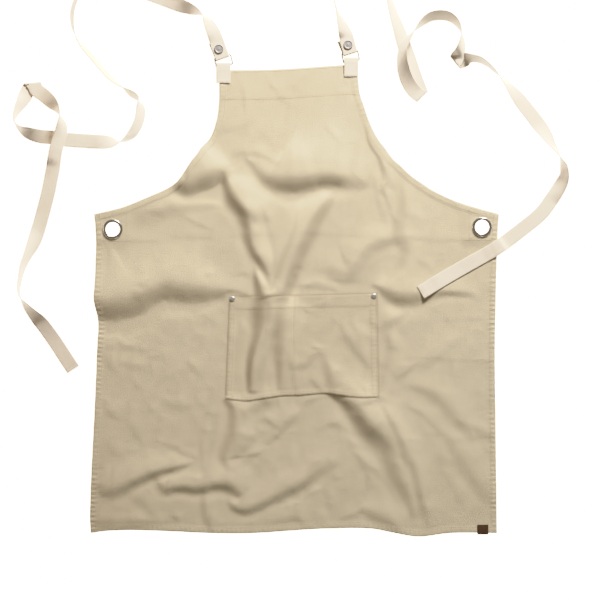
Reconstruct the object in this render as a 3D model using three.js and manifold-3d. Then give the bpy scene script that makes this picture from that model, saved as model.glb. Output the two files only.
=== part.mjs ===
// Cross back apron, lying flat, front side up.
// Millimetres, +Z up, +Y towards the bib, +X to the right of the front view.
// Places along the outline, folds and straps are read off a straight-down view
// in its own units and turned into millimetres by one scale.
import * as THREE from 'three';
import { mergeVertices } from 'three/addons/utils/BufferGeometryUtils.js';
import Module from 'manifold-3d';

// ---------- driving dimensions ----------
const UNIT = 1.80;               // mm per view unit (25.4 mm webbing is 14.1 units wide)
const ORIGIN_U = 294.087;         // view place of the part's origin, across
const ORIGIN_V = 293.118;        // view place of the part's origin, down
const CLOTH = 1.0;               // panel and pocket wall
const GAP = 0.3;                 // gap kept between pieces
const WEB_WIDTH = 25.4;          // strap and tab webbing
const WEB_THICK = 1.3;
const WIRE = 2.6;                // ring wire diameter
const EYELET = { inner: 12.5, outer: 18.0, hole: 13.8, baseTop: 1.5, panelZ: 3.1 };
const SNAP = { cap: 8.4, hole: 3.1, shank: 2.5, strapZ: 6.0, stubZ: 1.5 };
const RIVET = { cap: 4.6, hole: 2.2, shank: 1.7, panelZ: 1.6 };
const LOOP_R = 2.25;             // middle radius of a strap folded round a wire
const TAB_R = 2.5, TAB_Z = 3.4;  // the same for a tab, and the height of its fold
const CREASE_R = 1.5;            // middle radius of a flat fold in a strap
const BIB_ROWS = 13, SKIRT_ROWS = 26, COLUMNS = 32;
const WAIST_V = 214, TOP_V = 68, FOOT_V = 532;

// ---------- tables: outline of the panel (v down, u across) ----------
const LEFT_EDGE = [ // v, u
  [66, 219], [85, 219], [100, 219], [112, 218], [122, 216], [138, 210], [148, 201], [154, 197],
  [160, 192], [166, 188], [172, 184], [178, 180], [184, 174], [190, 164], [196, 150], [202, 136],
  [208, 120], [214, 94], [222, 95], [240, 96], [280, 95], [300, 94], [320, 98], [350, 97],
  [400, 95], [440, 93], [480, 91], [520, 90], [534, 91]];
const RIGHT_EDGE = [ // v, u
  [64, 357], [77, 358], [94, 360], [106, 364], [118, 368], [130, 373], [142, 380], [148, 385],
  [154, 389], [160, 394], [166, 401], [172, 407], [178, 414], [184, 423], [190, 432], [196, 444],
  [202, 458], [208, 477], [214, 499], [226, 498], [250, 497], [290, 496], [350, 495], [450, 496],
  [534, 497]];
const TOP_EDGE = [ // u, v
  [219, 70], [255, 70], [285, 69], [315, 67], [345, 65], [358, 65]];
const FOOT_EDGE = [ // u, v
  [91, 533], [105, 531], [130, 530], [165, 531], [210, 533], [255, 533], [285, 531], [315, 529],
  [360, 528], [375, 529], [390, 532], [418, 536.5], [450, 533], [497, 533]];

// ---------- table: main folds; height mm, flank and fade in view units ----------
const FOLDS = [
  { name: 'armhole_left', height: 6, flank: 11, fade: 24, line: [[186, 192], [205, 180], [226, 170]] },
  { name: 'bib_left', height: 4, flank: 8, fade: 18, line: [[222, 175], [226, 190], [236, 205], [250, 216], [246, 230], [255, 256], [270, 282]] },
  { name: 'bib_across', height: 6, flank: 12, fade: 22, line: [[247, 160], [262, 175], [275, 183], [295, 186], [315, 181], [340, 181], [362, 185], [372, 172], [376, 162]] },
  { name: 'centre', height: 5, flank: 9, fade: 20, line: [[328, 200], [310, 240], [292, 272], [285, 290], [281, 320], [280, 375]] },
  { name: 'waist_left', height: 7, flank: 14, fade: 28, line: [[96, 311], [120, 308], [145, 300], [165, 291], [205, 293], [246, 297]] },
  { name: 'waist_right', height: 4, flank: 8, fade: 20, line: [[378, 289], [395, 299], [410, 299], [445, 293], [470, 294]] },
  { name: 'skirt_right', height: 8, flank: 12, fade: 26, line: [[335, 396], [355, 410], [372, 437], [392, 452], [398, 480], [412, 512]] },
  { name: 'skirt_middle', height: 3, flank: 8, fade: 18, line: [[228, 404], [234, 430], [224, 462]] },
  { name: 'foot_left', height: 4, flank: 8, fade: 20, line: [[105, 492], [140, 480], [170, 470], [192, 464]] },
  { name: 'foot_middle', height: 4, flank: 8, fade: 18, line: [[229, 502], [245, 512], [275, 500], [302, 486], [330, 465]] },
  { name: 'side_right', height: 3, flank: 9, fade: 20, line: [[410, 390], [440, 402], [465, 428], [490, 440]] }];

// ---------- table: places kept flat; half sizes and blend in view units, z mm ----------
const FLATS = [
  { name: 'tab_left', u: 223.5, v: 74, hu: 13, hv: 16, z: 1.6, blend: 12 },
  { name: 'tab_right', u: 351.5, v: 69, hu: 13, hv: 16, z: 1.6, blend: 12 },
  { name: 'eyelet_left', u: 112.5, v: 226, hu: 18, hv: 21, z: 3.1, blend: 14 },
  { name: 'eyelet_right', u: 482, v: 224, hu: 18, hv: 21, z: 3.1, blend: 14 },
  { name: 'rivet_left', u: 232.4, v: 298.9, hu: 12, hv: 12, z: 1.6, blend: 9 },
  { name: 'rivet_right', u: 373.8, v: 296.2, hu: 12, hv: 12, z: 1.6, blend: 9 },
  { name: 'label', u: 482.6, v: 530, hu: 14, hv: 16, z: 1.2, blend: 12 },
  { name: 'rest_face', u: 290, v: 116, hu: 22, hv: 18, z: 0, blend: 12 }];

// ---------- table: pocket outline (view places) ----------
const POCKET = [[229, 297], [300, 295.5], [376.5, 293.5], [377.5, 345], [378.5, 397.5], [360, 398],
  [340, 396], [325, 394], [300, 396], [283, 396.5], [265, 399], [247, 401.5], [225, 399.5], [227, 348]];
const PATCH_LEFT = [[98, 217], [104, 215], [126.5, 209.5], [126.5, 241], [98, 241]];
const PATCH_RIGHT = [[469, 207.5], [477, 211.5], [494.5, 216], [494.5, 240.5], [469, 240.5]];

// ---------- tables: straps; u, v place of the middle, roll deg, lift mm ----------
// A run ends at a fold: point, direction into the fold, direction of the fold
// line, its middle radius, and whether the next run lies over (1) or under (-1).
const STRAP_LEFT = [
  { rows: [[215.2, 41.2, -180, 1.5], [217.5, 46.6, -180, 1.5]],
    fold: { at: [222.1, 57.9], into: [0.382, 0.924], line: [0.942, -0.335], r: LOOP_R, side: 1 } },
  { rows: [[218.9, 48.2, 0, 6.0], [217.1, 42.6, 0, 6.0], [213.2, 32.3, 44, 3.0], [208.0, 21.8, 68, 0.4],
    [202.5, 15.2, 90, 0], [192, 10.2, 124, 0], [178, 4.8, 148, 0], [166, 0, 162, 0], [142, -8.5, 178, 0],
    [116, -13.5, 196, 0], [94, -13, 222, 0], [81.5, -7.5, 242, 0], [76.6, 0, 249, 0], [72.9, 13, 250, 0],
    [73.2, 26, 256, 0], [75, 33, 264, 0], [77.9, 39.8, 274, 0], [83.2, 46.6, 286, 0], [90, 54.8, 290, 0],
    [97.6, 63.8, 290, 0], [105, 72.2, 291, 0], [112, 79.6, 289, 0], [119.4, 85.4, 280, 0], [125.5, 89.8, 262, 0],
    [132.5, 94.6, 245, 0], [137.6, 98.4, 252, 0], [139.8, 103, 284, 0], [141.0, 111, 308, 0], [139.4, 121, 309, 0],
    [134, 132, 308, 0], [127.6, 138.4, 290, 0], [121, 141.9, 268, 0], [113.5, 142.6, 226, 0], [104, 142.1, 194, 0],
    [92, 141.5, 180, 0], [78, 140.6, 180, 0], [64, 139.4, 180, 0], [52, 137.6, 168, 0], [40, 136.4, 150, 0],
    [28.5, 133.2, 130, 0], [20, 128.6, 110, 0], [15.4, 122.2, 92, 0], [15.8, 116.6, 80, 0], [18.6, 109.8, 64, 0],
    [22.6, 102.4, 40, 0], [26.6, 93.6, 8, 0]],
    fold: { at: [31.4, 83.7], into: [0.446, -0.884], line: [0.995, -0.10], r: CREASE_R, side: 1 } },
  { rows: [[36.4, 89.6, 180, 3.0], [44.2, 95.6, 188, 2.4], [51.8, 102.8, 212, 1.2], [57.4, 109.4, 240, 1.0],
    [60.9, 116.4, 272, 1.6], [62.2, 123.6, 306, 2.6], [61.6, 131.4, 326, 3.0], [57.2, 146, 338, 3.0],
    [54.6, 158, 342, 1.0], [53.2, 167.2, 356, 0], [50.8, 179.6, 360, 0], [48.2, 192.5, 360, 0], [43.6, 210.5, 360, 0],
    [38.2, 230, 354, 0], [34, 243, 332, 0], [28.4, 255.5, 303, 0], [24.0, 265.7, 292, 0], [21.5, 275.9, 283, 0],
    [19.8, 287, 277, 0], [20.7, 296.4, 269, 0], [25.6, 305, 252, 0], [33.4, 314.4, 232, 0], [42, 323.7, 208, 0],
    [49.4, 333.6, 188, 0], [57.4, 345.2, 180, 0], [65.6, 357.8, 180, 0], [73.4, 369.6, 180, 0]] }];
const STRAP_RIGHT = [
  { rows: [[342.8, 37.2, -180, 1.5], [345.1, 42.5, -180, 1.5]],
    fold: { at: [349.7, 53.3], into: [0.399, 0.917], line: [0.954, -0.301], r: LOOP_R, side: 1 } },
  { rows: [[347.9, 44.6, 0, 6.0], [346.6, 38.8, 0, 6.0], [344.2, 30.5, 46, 2.6], [340.5, 19.8, 68, 0.4],
    [336.9, 10.2, 80, 0], [334.6, 1.2, 87, 0], [334.4, -8, 90, 0], [338.5, -18, 91, 0], [348.6, -25.6, 92, 0],
    [363, -27, 94, 0], [377, -20.8, 100, 0], [385.4, -10, 108, 0], [389.4, 0.4, 117, 0], [393.6, 14, 130, 0],
    [398.6, 28.4, 148, 0], [403.4, 43.4, 166, 0], [408.8, 58.6, 180, 0], [414.6, 76, 180, 0]],
    fold: { at: [422.2, 95.4], into: [0.40, 0.916], line: [0.714, -0.70], r: CREASE_R, side: 1 } },
  { rows: [[413.4, 90.4, 350, 3.0], [407.2, 81, 327, 3.0], [403.4, 70, 311, 3.0], [402.0, 60, 306, 3.0],
    [402.6, 50, 305, 3.0], [406.2, 41.4, 296, 2.2], [411.4, 34.4, 280, 1.0], [417.6, 27.4, 258, 0],
    [424.2, 21.2, 240, 0], [431, 17.1, 231, 0], [438.4, 15.7, 228, 0], [446.8, 16.5, 230, 0], [453.4, 20.2, 240, 0],
    [458.2, 26, 254, 0], [460.9, 32.4, 271, 0], [461.9, 39.3, 290, 1.0], [461.4, 45.6, 305, 2.4], [459.7, 52.4, 326, 3.0]],
    fold: { at: [455.2, 61.6], into: [-0.42, 0.907], line: [0.636, 0.772], r: CREASE_R, side: -1 } },
  { rows: [[464.6, 60.0, 196, 0], [471.6, 58.8, 238, 0], [480, 60.5, 248, 0], [487.4, 65.0, 258, 0],
    [494.4, 71.4, 272, 0], [502, 79.4, 290, 0], [509.4, 87.2, 308, 0], [516, 95.6, 330, 0], [522.8, 104.2, 344, 0],
    [536.6, 121.8, 347, 0], [544.8, 133, 326, 0], [551.9, 144.4, 298, 0], [557.4, 153, 281, 0], [560.6, 159.6, 268, 0],
    [563.1, 166.2, 246, 0], [563.9, 174.4, 234, 0], [561.5, 182.6, 210, 0], [556.2, 192.4, 191, 0], [550, 201.6, 180, 0],
    [543.4, 210.8, 180, 0], [535.6, 218.4, 180, 0], [526.4, 225.8, 180, 0], [514, 235.4, 180, 0], [500.6, 245.4, 180, 0],
    [485, 255, 180, 0], [468.7, 264.2, 180, 0], [447, 276.6, 180, 0], [420.7, 292.5, 180, 0]] }];
const STEP = 27;                 // mm between sections along a strap
const SNAP_LEFT = [219.06, 49.2], SNAP_RIGHT = [348.1, 45.0];
const RINGS = {                  // corners of the wire's middle line, upper bar first; z mm of each bar
  left: { ul: [214.4, 58.6], ur: [230.5, 54.6], leg: 9.7, zTop: 4.4, zFoot: 3.2 },
  right: { ul: [341.7, 53.9], ur: [357.4, 50.5], leg: 9.7, zTop: 4.4, zFoot: 3.2 } };
const TABS = {                   // left and right edge, top fold and lower end
  left: { u0: 216.3, u1: 230.4, top: 62.5, foot: 83.0 },
  right: { u0: 344.1, u1: 358.2, top: 57.3, foot: 76.5 } };
const EYELETS = { left: [112.9, 229.3], right: [481.9, 227.1] };
const RIVETS = { left: [232.4, 298.9], right: [373.8, 296.2] };
const LABEL = { u0: 477.2, u1: 488.2, top: 524.6, foot: 534.4, thick: 0.9 };

// ---------- small helpers ----------
const X = u => (u - ORIGIN_U) * UNIT;
const Y = v => (ORIGIN_V - v) * UNIT;
const clamp = (x, a, b) => Math.min(b, Math.max(a, x));
const smooth = t => { t = clamp(t, 0, 1); return t * t * (3 - 2 * t); };
function lookup(table, key) {
  if (key <= table[0][0]) return table[0][1];
  for (let i = 1; i < table.length; i++) {
    const [k0, a] = table[i - 1], [k1, b] = table[i];
    if (key <= k1) return a + (b - a) * (key - k0) / (k1 - k0);
  }
  return table[table.length - 1][1];
}
const wasm = await Module();
wasm.setup();
function toSolid(geometry) {
  const g = geometry.clone();
  for (const name of Object.keys(g.attributes)) if (name !== 'position') g.deleteAttribute(name);
  const m = mergeVertices(g, 1e-4);
  return new wasm.Manifold(new wasm.Mesh({
    numProp: 3, vertProperties: new Float32Array(m.attributes.position.array),
    triVerts: new Uint32Array(m.index.array) }));
}
function toGeometry(solid) {
  const m = solid.getMesh();
  const g = new THREE.BufferGeometry();
  g.setAttribute('position', new THREE.BufferAttribute(new Float32Array(m.vertProperties), 3));
  g.setIndex(new THREE.BufferAttribute(new Uint32Array(m.triVerts), 1));
  g.computeVertexNormals();
  return g;
}
const cut = (geometry, ...tools) =>
  toGeometry(tools.reduce((s, t) => s.subtract(toSolid(t)), toSolid(geometry)));
function rod(u, v, radius, z0, z1, sides = 24) {
  return new THREE.CylinderGeometry(radius, radius, z1 - z0, sides)
    .rotateX(Math.PI / 2).translate(X(u), Y(v), (z0 + z1) / 2);
}
function prism(outline, z0, z1) {
  const shape = new THREE.Shape(outline.map(([u, v]) => new THREE.Vector2(X(u), Y(v))));
  return new THREE.ExtrudeGeometry(shape, { depth: z1 - z0, bevelEnabled: false }).translate(0, 0, z0);
}
function slabFrom(lower, upper) { // two equal grids of points, lower[i][j] and upper[i][j]
  const n = lower.length, m = lower[0].length, pos = [], idx = [];
  for (const grid of [lower, upper]) for (const row of grid) for (const p of row) pos.push(...p);
  const id = (k, i, j) => k * n * m + i * m + j;
  const quad = (a, b, c, d) => idx.push(a, b, c, a, c, d);
  for (let i = 0; i < n - 1; i++) for (let j = 0; j < m - 1; j++) {
    quad(id(1, i, j), id(1, i, j + 1), id(1, i + 1, j + 1), id(1, i + 1, j));
    quad(id(0, i, j), id(0, i + 1, j), id(0, i + 1, j + 1), id(0, i, j + 1));
  }
  for (let i = 0; i < n - 1; i++) {
    quad(id(0, i, 0), id(1, i, 0), id(1, i + 1, 0), id(0, i + 1, 0));
    quad(id(0, i, m - 1), id(0, i + 1, m - 1), id(1, i + 1, m - 1), id(1, i, m - 1));
  }
  for (let j = 0; j < m - 1; j++) {
    quad(id(0, 0, j), id(0, 0, j + 1), id(1, 0, j + 1), id(1, 0, j));
    quad(id(0, n - 1, j), id(1, n - 1, j), id(1, n - 1, j + 1), id(0, n - 1, j + 1));
  }
  const g = new THREE.BufferGeometry();
  g.setAttribute('position', new THREE.Float32BufferAttribute(pos, 3));
  g.setIndex(idx);
  if (volume(g) < 0) { for (let k = 0; k < idx.length; k += 3) [idx[k], idx[k + 1]] = [idx[k + 1], idx[k]]; g.setIndex(idx); }
  g.computeVertexNormals();
  return g;
}
function volume(g) {
  const p = g.attributes.position, i = g.index.array; let sum = 0;
  const a = new THREE.Vector3(), b = new THREE.Vector3(), c = new THREE.Vector3();
  for (let k = 0; k < i.length; k += 3) {
    a.fromBufferAttribute(p, i[k]); b.fromBufferAttribute(p, i[k + 1]); c.fromBufferAttribute(p, i[k + 2]);
    sum += a.dot(b.cross(c)) / 6;
  }
  return sum;
}

// ---------- the cloth's height ----------
function foldHeight(fold, u, v) {
  const line = fold.line, last = line.length - 1;
  const chord = [line[last][0] - line[0][0], line[last][1] - line[0][1]];
  const lit = (chord[1] * 0.5 + chord[0] * 0.87) > 0 ? 1 : -1; // side that faces up and right
  let best = Infinity, signed = 0, beyond = 0;
  for (let i = 0; i < last; i++) {
    const [x0, y0] = line[i], dx = line[i + 1][0] - x0, dy = line[i + 1][1] - y0;
    const len = Math.hypot(dx, dy), t = ((u - x0) * dx + (v - y0) * dy) / (len * len), tc = clamp(t, 0, 1);
    const qx = u - x0 - tc * dx, qy = v - y0 - tc * dy, d = Math.hypot(qx, qy);
    if (d < best) {
      best = d;
      const side = lit * (qx * dy - qy * dx) / len;
      beyond = (i === 0 && t < 0) ? -t * len : (i === last - 1 && t > 1) ? (t - 1) * len : 0;
      signed = (side >= 0 ? 1 : -1) * (beyond > 0 ? Math.abs(side) : d);
    }
  }
  const rise = smooth(signed / fold.flank + 0.5);
  const fall = signed > 0 ? Math.exp(-Math.pow(signed / fold.fade, 2)) : 1;
  return fold.height * rise * fall * Math.exp(-Math.pow(beyond / (1.2 * fold.flank), 2));
}
function clothZ(u, v) {
  let z = 0;
  for (const fold of FOLDS) z = Math.max(z, foldHeight(fold, u, v)) + 0.35 * Math.min(z, foldHeight(fold, u, v));
  for (const f of FLATS) {
    const du = Math.max(0, Math.abs(u - f.u) - f.hu), dv = Math.max(0, Math.abs(v - f.v) - f.hv);
    const w = 1 - smooth(Math.hypot(du, dv) / f.blend);
    z = z * (1 - w) + f.z * w;
  }
  return z;
}
const vShare = (u, v) => (v - lookup(TOP_EDGE, u)) / (lookup(FOOT_EDGE, u) - lookup(TOP_EDGE, u));
const byShare = edge => edge.map(([v, u]) => [vShare(u, v), u]);
const LEFT_SHARE = byShare(LEFT_EDGE), RIGHT_SHARE = byShare(RIGHT_EDGE);
const WAIST_SHARE = (WAIST_V - TOP_V) / (FOOT_V - TOP_V);
const rows = [];
for (let i = 0; i <= BIB_ROWS; i++) rows.push(WAIST_SHARE * i / BIB_ROWS);
for (let i = 1; i <= SKIRT_ROWS; i++) rows.push(WAIST_SHARE + (1 - WAIST_SHARE) * i / SKIRT_ROWS);
const gridPlaces = rows.map(share => {
  const u0 = lookup(LEFT_SHARE, share), u1 = lookup(RIGHT_SHARE, share), line = [];
  for (let j = 0; j <= COLUMNS; j++) {
    const u = u0 + (u1 - u0) * j / COLUMNS;
    const v = lookup(TOP_EDGE, u) + share * (lookup(FOOT_EDGE, u) - lookup(TOP_EDGE, u));
    line.push([u, v, clothZ(u, v)]);
  }
  return line;
});
function layer(from, to) { // cloth slab between two heights above the panel's underside
  const at = dz => gridPlaces.map(line => line.map(([u, v, z]) => [X(u), Y(v), z + dz]));
  return slabFrom(at(from), at(to));
}
const within = (geometry, outline) =>
  toGeometry(toSolid(geometry).intersect(toSolid(prism(outline, -20, 60))));

// ---------- panel, pocket, patches ----------
const holes = [];
for (const [u, v] of Object.values(EYELETS)) holes.push(rod(u, v, EYELET.hole, -5, 40));
for (const [u, v] of Object.values(RIVETS)) holes.push(rod(u, v, RIVET.hole, -5, 40, 12));
const panel = cut(layer(0, CLOTH), ...holes);
const pocket = cut(within(layer(CLOTH + GAP, 2 * CLOTH + GAP), POCKET), holes[2], holes[3]);
const patchLeft = cut(within(layer(-GAP - CLOTH, -GAP), PATCH_LEFT), holes[0]);
const patchRight = cut(within(layer(-GAP - CLOTH, -GAP), PATCH_RIGHT), holes[1]);

// ---------- turned metal pieces ----------
function turned(profile, [u, v], sides) { // profile of [radius, z], closed on itself
  const pts = profile.map(([r, z]) => new THREE.Vector2(r, z));
  pts.push(pts[0].clone());
  const g = new THREE.LatheGeometry(pts, sides).rotateX(Math.PI / 2);
  for (const name of ['normal', 'uv']) g.deleteAttribute(name);
  const m = mergeVertices(g, 1e-4), idx = Array.from(m.index.array), tri = [];
  for (let k = 0; k < idx.length; k += 3)
    if (idx[k] !== idx[k + 1] && idx[k + 1] !== idx[k + 2] && idx[k] !== idx[k + 2]) tri.push(idx[k], idx[k + 1], idx[k + 2]);
  m.setIndex(tri);
  if (volume(m) < 0) { for (let k = 0; k < tri.length; k += 3) [tri[k], tri[k + 1]] = [tri[k + 1], tri[k]]; m.setIndex(tri); }
  m.computeVertexNormals();
  return m.translate(X(u), Y(v), 0);
}
const panelTop = EYELET.panelZ + CLOTH;
const EYELET_PROFILE = [
  [EYELET.inner, 0.5], [EYELET.inner + 0.5, 0], [EYELET.outer - 1, 0], [EYELET.outer - 0.6, 0.6],
  [EYELET.outer - 1, EYELET.baseTop], [EYELET.inner + 0.7, EYELET.baseTop],
  [EYELET.inner + 0.7, panelTop + GAP], [EYELET.outer - 0.3, panelTop + GAP], [EYELET.outer, panelTop + 0.9],
  [EYELET.outer - 0.9, panelTop + 2.0], [EYELET.outer - 2.8, panelTop + 2.6], [EYELET.inner + 0.8, panelTop + 2.4],
  [EYELET.inner, panelTop + 1.6]];
const rivetTop = RIVET.panelZ + 2 * CLOTH + 2 * GAP;
const RIVET_PROFILE = [[0, 0], [4.0, 0], [4.0, 1.3], [RIVET.shank, 1.3], [RIVET.shank, rivetTop],
  [RIVET.cap, rivetTop], [RIVET.cap, rivetTop + 0.6], [RIVET.cap - 1.2, rivetTop + 1.3], [0, rivetTop + 1.6]];
const stubTop = SNAP.stubZ + WEB_THICK, strapTop = SNAP.strapZ + WEB_THICK;
const SOCKET_PROFILE = [[0, 0], [6.4, 0], [6.6, 0.6], [6.2, SNAP.stubZ - GAP], [SNAP.shank, SNAP.stubZ - GAP],
  [SNAP.shank, stubTop + GAP], [5.8, stubTop + GAP], [5.8, stubTop + 1.1], [0, stubTop + 1.1]];
const CAP_PROFILE = [[0, SNAP.strapZ - 1.5], [5.0, SNAP.strapZ - 1.5], [5.2, SNAP.strapZ - GAP], [SNAP.shank, SNAP.strapZ - GAP],
  [SNAP.shank, strapTop + GAP], [SNAP.cap - 0.3, strapTop + GAP], [SNAP.cap, strapTop + 0.9], [SNAP.cap - 0.9, strapTop + 2.0],
  [SNAP.cap - 2.2, strapTop + 2.2], [SNAP.cap - 3.0, strapTop + 1.7], [2.4, strapTop + 1.8], [0, strapTop + 2.2]];

// ---------- webbing tabs and the label: a folded strip drawn side on ----------
function strip(path, thick) { // path of [y mm, z mm]; outline offset half the thickness each way
  const left = [], right = [];
  path.forEach(([y, z], i) => {
    const a = path[Math.max(0, i - 1)], b = path[Math.min(path.length - 1, i + 1)];
    const len = Math.hypot(b[0] - a[0], b[1] - a[1]), ny = -(b[1] - a[1]) / len, nz = (b[0] - a[0]) / len;
    left.push(new THREE.Vector2(y + ny * thick / 2, z + nz * thick / 2));
    right.unshift(new THREE.Vector2(y - ny * thick / 2, z - nz * thick / 2));
  });
  return new THREE.Shape([...left, ...right]);
}
function foldedStrip(path, thick, u0, u1) {
  const g = new THREE.ExtrudeGeometry(strip(path, thick), { depth: (u1 - u0) * UNIT, bevelEnabled: false });
  // shape x -> world y, shape y -> world z, depth -> world x
  return g.applyMatrix4(new THREE.Matrix4().set(0, 0, 1, X(u0), 1, 0, 0, 0, 0, 1, 0, 0, 0, 0, 0, 1));
}
function tab({ u0, u1, top, foot }) {
  const half = WEB_THICK / 2, zRing = TAB_Z, front = 1.6 + CLOTH + GAP + half;
  const axis = Y(top) - TAB_R - half;
  const path = [[Y(foot), half], [axis, zRing - TAB_R]];
  for (let k = 1; k < 6; k++) {
    const a = -Math.PI / 2 + Math.PI * k / 6;
    path.push([axis + TAB_R * Math.cos(a), zRing + TAB_R * Math.sin(a)]);
  }
  path.push([axis, zRing + TAB_R], [axis - 10, zRing + TAB_R - 0.1], [axis - 16, front + 0.3], [axis - 19, front], [Y(foot), front]);
  return foldedStrip(path, WEB_THICK, u0, u1);
}
function label({ u0, u1, top, foot, thick }) {
  const back = thick / 2, front = 1.2 + CLOTH + GAP + thick / 2, mid = (back + front) / 2, r = (front - back) / 2;
  const path = [[Y(top), back], [Y(foot) + r + back, back]];
  for (let k = 1; k < 5; k++) {
    const a = -Math.PI / 2 - Math.PI * k / 5;
    path.push([Y(foot) + r + back + r * Math.cos(a), mid + r * Math.sin(a)]);
  }
  path.push([Y(foot) + r + back, front], [Y(top), front]);
  return foldedStrip(path, thick, u0, u1);
}

// ---------- wire rings ----------
function ring({ ul, ur, leg, zTop, zFoot }) {
  const along = new THREE.Vector2(X(ur[0]) - X(ul[0]), Y(ur[1]) - Y(ul[1])).normalize();
  const down = new THREE.Vector2(along.y, -along.x).multiplyScalar(leg * UNIT);
  const corner = [
    new THREE.Vector3(X(ul[0]), Y(ul[1]), zTop), new THREE.Vector3(X(ur[0]), Y(ur[1]), zTop),
    new THREE.Vector3(X(ur[0]) + down.x, Y(ur[1]) + down.y, zFoot), new THREE.Vector3(X(ul[0]) + down.x, Y(ul[1]) + down.y, zFoot)];
  const bend = 2.2, path = [];
  corner.forEach((c, i) => { // each corner rounded by a short arc
    const before = corner[(i + 3) % 4].clone().sub(c).normalize(), after = corner[(i + 1) % 4].clone().sub(c).normalize();
    for (let k = 0; k <= 3; k++) {
      const t = k / 3, p = c.clone().addScaledVector(before, bend * (1 - t) * (1 - t)).addScaledVector(after, bend * t * t);
      path.push(p);
    }
  });
  const sides = 10, pos = [], idx = [], n = path.length, up = new THREE.Vector3(0, 0, 1);
  path.forEach((p, i) => {
    const t = path[(i + 1) % n].clone().sub(path[(i + n - 1) % n]).normalize();
    const a = new THREE.Vector3().crossVectors(up, t).normalize(), b = new THREE.Vector3().crossVectors(t, a);
    for (let k = 0; k < sides; k++) {
      const w = 2 * Math.PI * k / sides;
      const q = p.clone().addScaledVector(a, Math.cos(w) * WIRE / 2).addScaledVector(b, Math.sin(w) * WIRE / 2);
      pos.push(q.x, q.y, q.z);
    }
  });
  for (let i = 0; i < n; i++) for (let k = 0; k < sides; k++) {
    const i2 = (i + 1) % n, k2 = (k + 1) % sides;
    idx.push(i * sides + k, i2 * sides + k, i2 * sides + k2, i * sides + k, i2 * sides + k2, i * sides + k2);
  }
  const g = new THREE.BufferGeometry();
  g.setAttribute('position', new THREE.Float32BufferAttribute(pos, 3));
  g.setIndex(idx);
  if (volume(g) < 0) { for (let k = 0; k < idx.length; k += 3) [idx[k], idx[k + 1]] = [idx[k + 1], idx[k]]; g.setIndex(idx); }
  g.computeVertexNormals();
  return g;
}

// ---------- straps: flat webbing along a route, rolled and folded as the tables say ----------
function spline(points) { // centripetal curve through points of any size; returns position(t), t in 0..n-1
  const n = points.length, knots = [0];
  for (let i = 1; i < n; i++)
    knots.push(knots[i - 1] + Math.max(1e-6, Math.sqrt(Math.hypot(points[i][0] - points[i - 1][0], points[i][1] - points[i - 1][1]))));
  const slope = (i, c) => {
    if (i === 0) return (points[1][c] - points[0][c]) / (knots[1] - knots[0]);
    if (i === n - 1) return (points[n - 1][c] - points[n - 2][c]) / (knots[n - 1] - knots[n - 2]);
    const h0 = knots[i] - knots[i - 1], h1 = knots[i + 1] - knots[i];
    const d0 = (points[i][c] - points[i - 1][c]) / h0, d1 = (points[i + 1][c] - points[i][c]) / h1;
    if (c > 1) return d0 * d1 <= 0 ? 0 : 2 * d0 * d1 / (d0 + d1); // roll and lift never overshoot
    return (d0 * h1 + d1 * h0) / (h0 + h1);
  };
  return t => {
    const i = clamp(Math.floor(t), 0, n - 2), h = knots[i + 1] - knots[i], s = t - i;
    return points[i].map((p0, c) => {
      const p1 = points[i + 1][c], m0 = slope(i, c) * h, m1 = slope(i + 1, c) * h;
      return (2 * s ** 3 - 3 * s ** 2 + 1) * p0 + (s ** 3 - 2 * s ** 2 + s) * m0 + (-2 * s ** 3 + 3 * s ** 2) * p1 + (s ** 3 - s ** 2) * m1;
    });
  };
}
const unit2 = ([a, b]) => { const n = Math.hypot(a, b); return [a / n, b / n]; };
function foldFrame(fold) { // into and along the fold line, in millimetre axes
  const into = unit2([fold.into[0], -fold.into[1]]), line = unit2([fold.line[0], -fold.line[1]]);
  let over = [-line[1], line[0]];
  if (over[0] * into[0] + over[1] * into[1] < 0) over = [line[1], -line[0]];
  const a = into[0] * line[0] + into[1] * line[1], b = into[0] * over[0] + into[1] * over[1];
  const at = [X(fold.at[0]), Y(fold.at[1])], shift = Math.PI * fold.r * a / b;
  return { into, line, over, at, back: [at[0] + line[0] * shift, at[1] + line[1] * shift], b,
    out: [a * line[0] - b * over[0], a * line[1] - b * over[1]], r: fold.r, side: fold.side };
}
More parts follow.
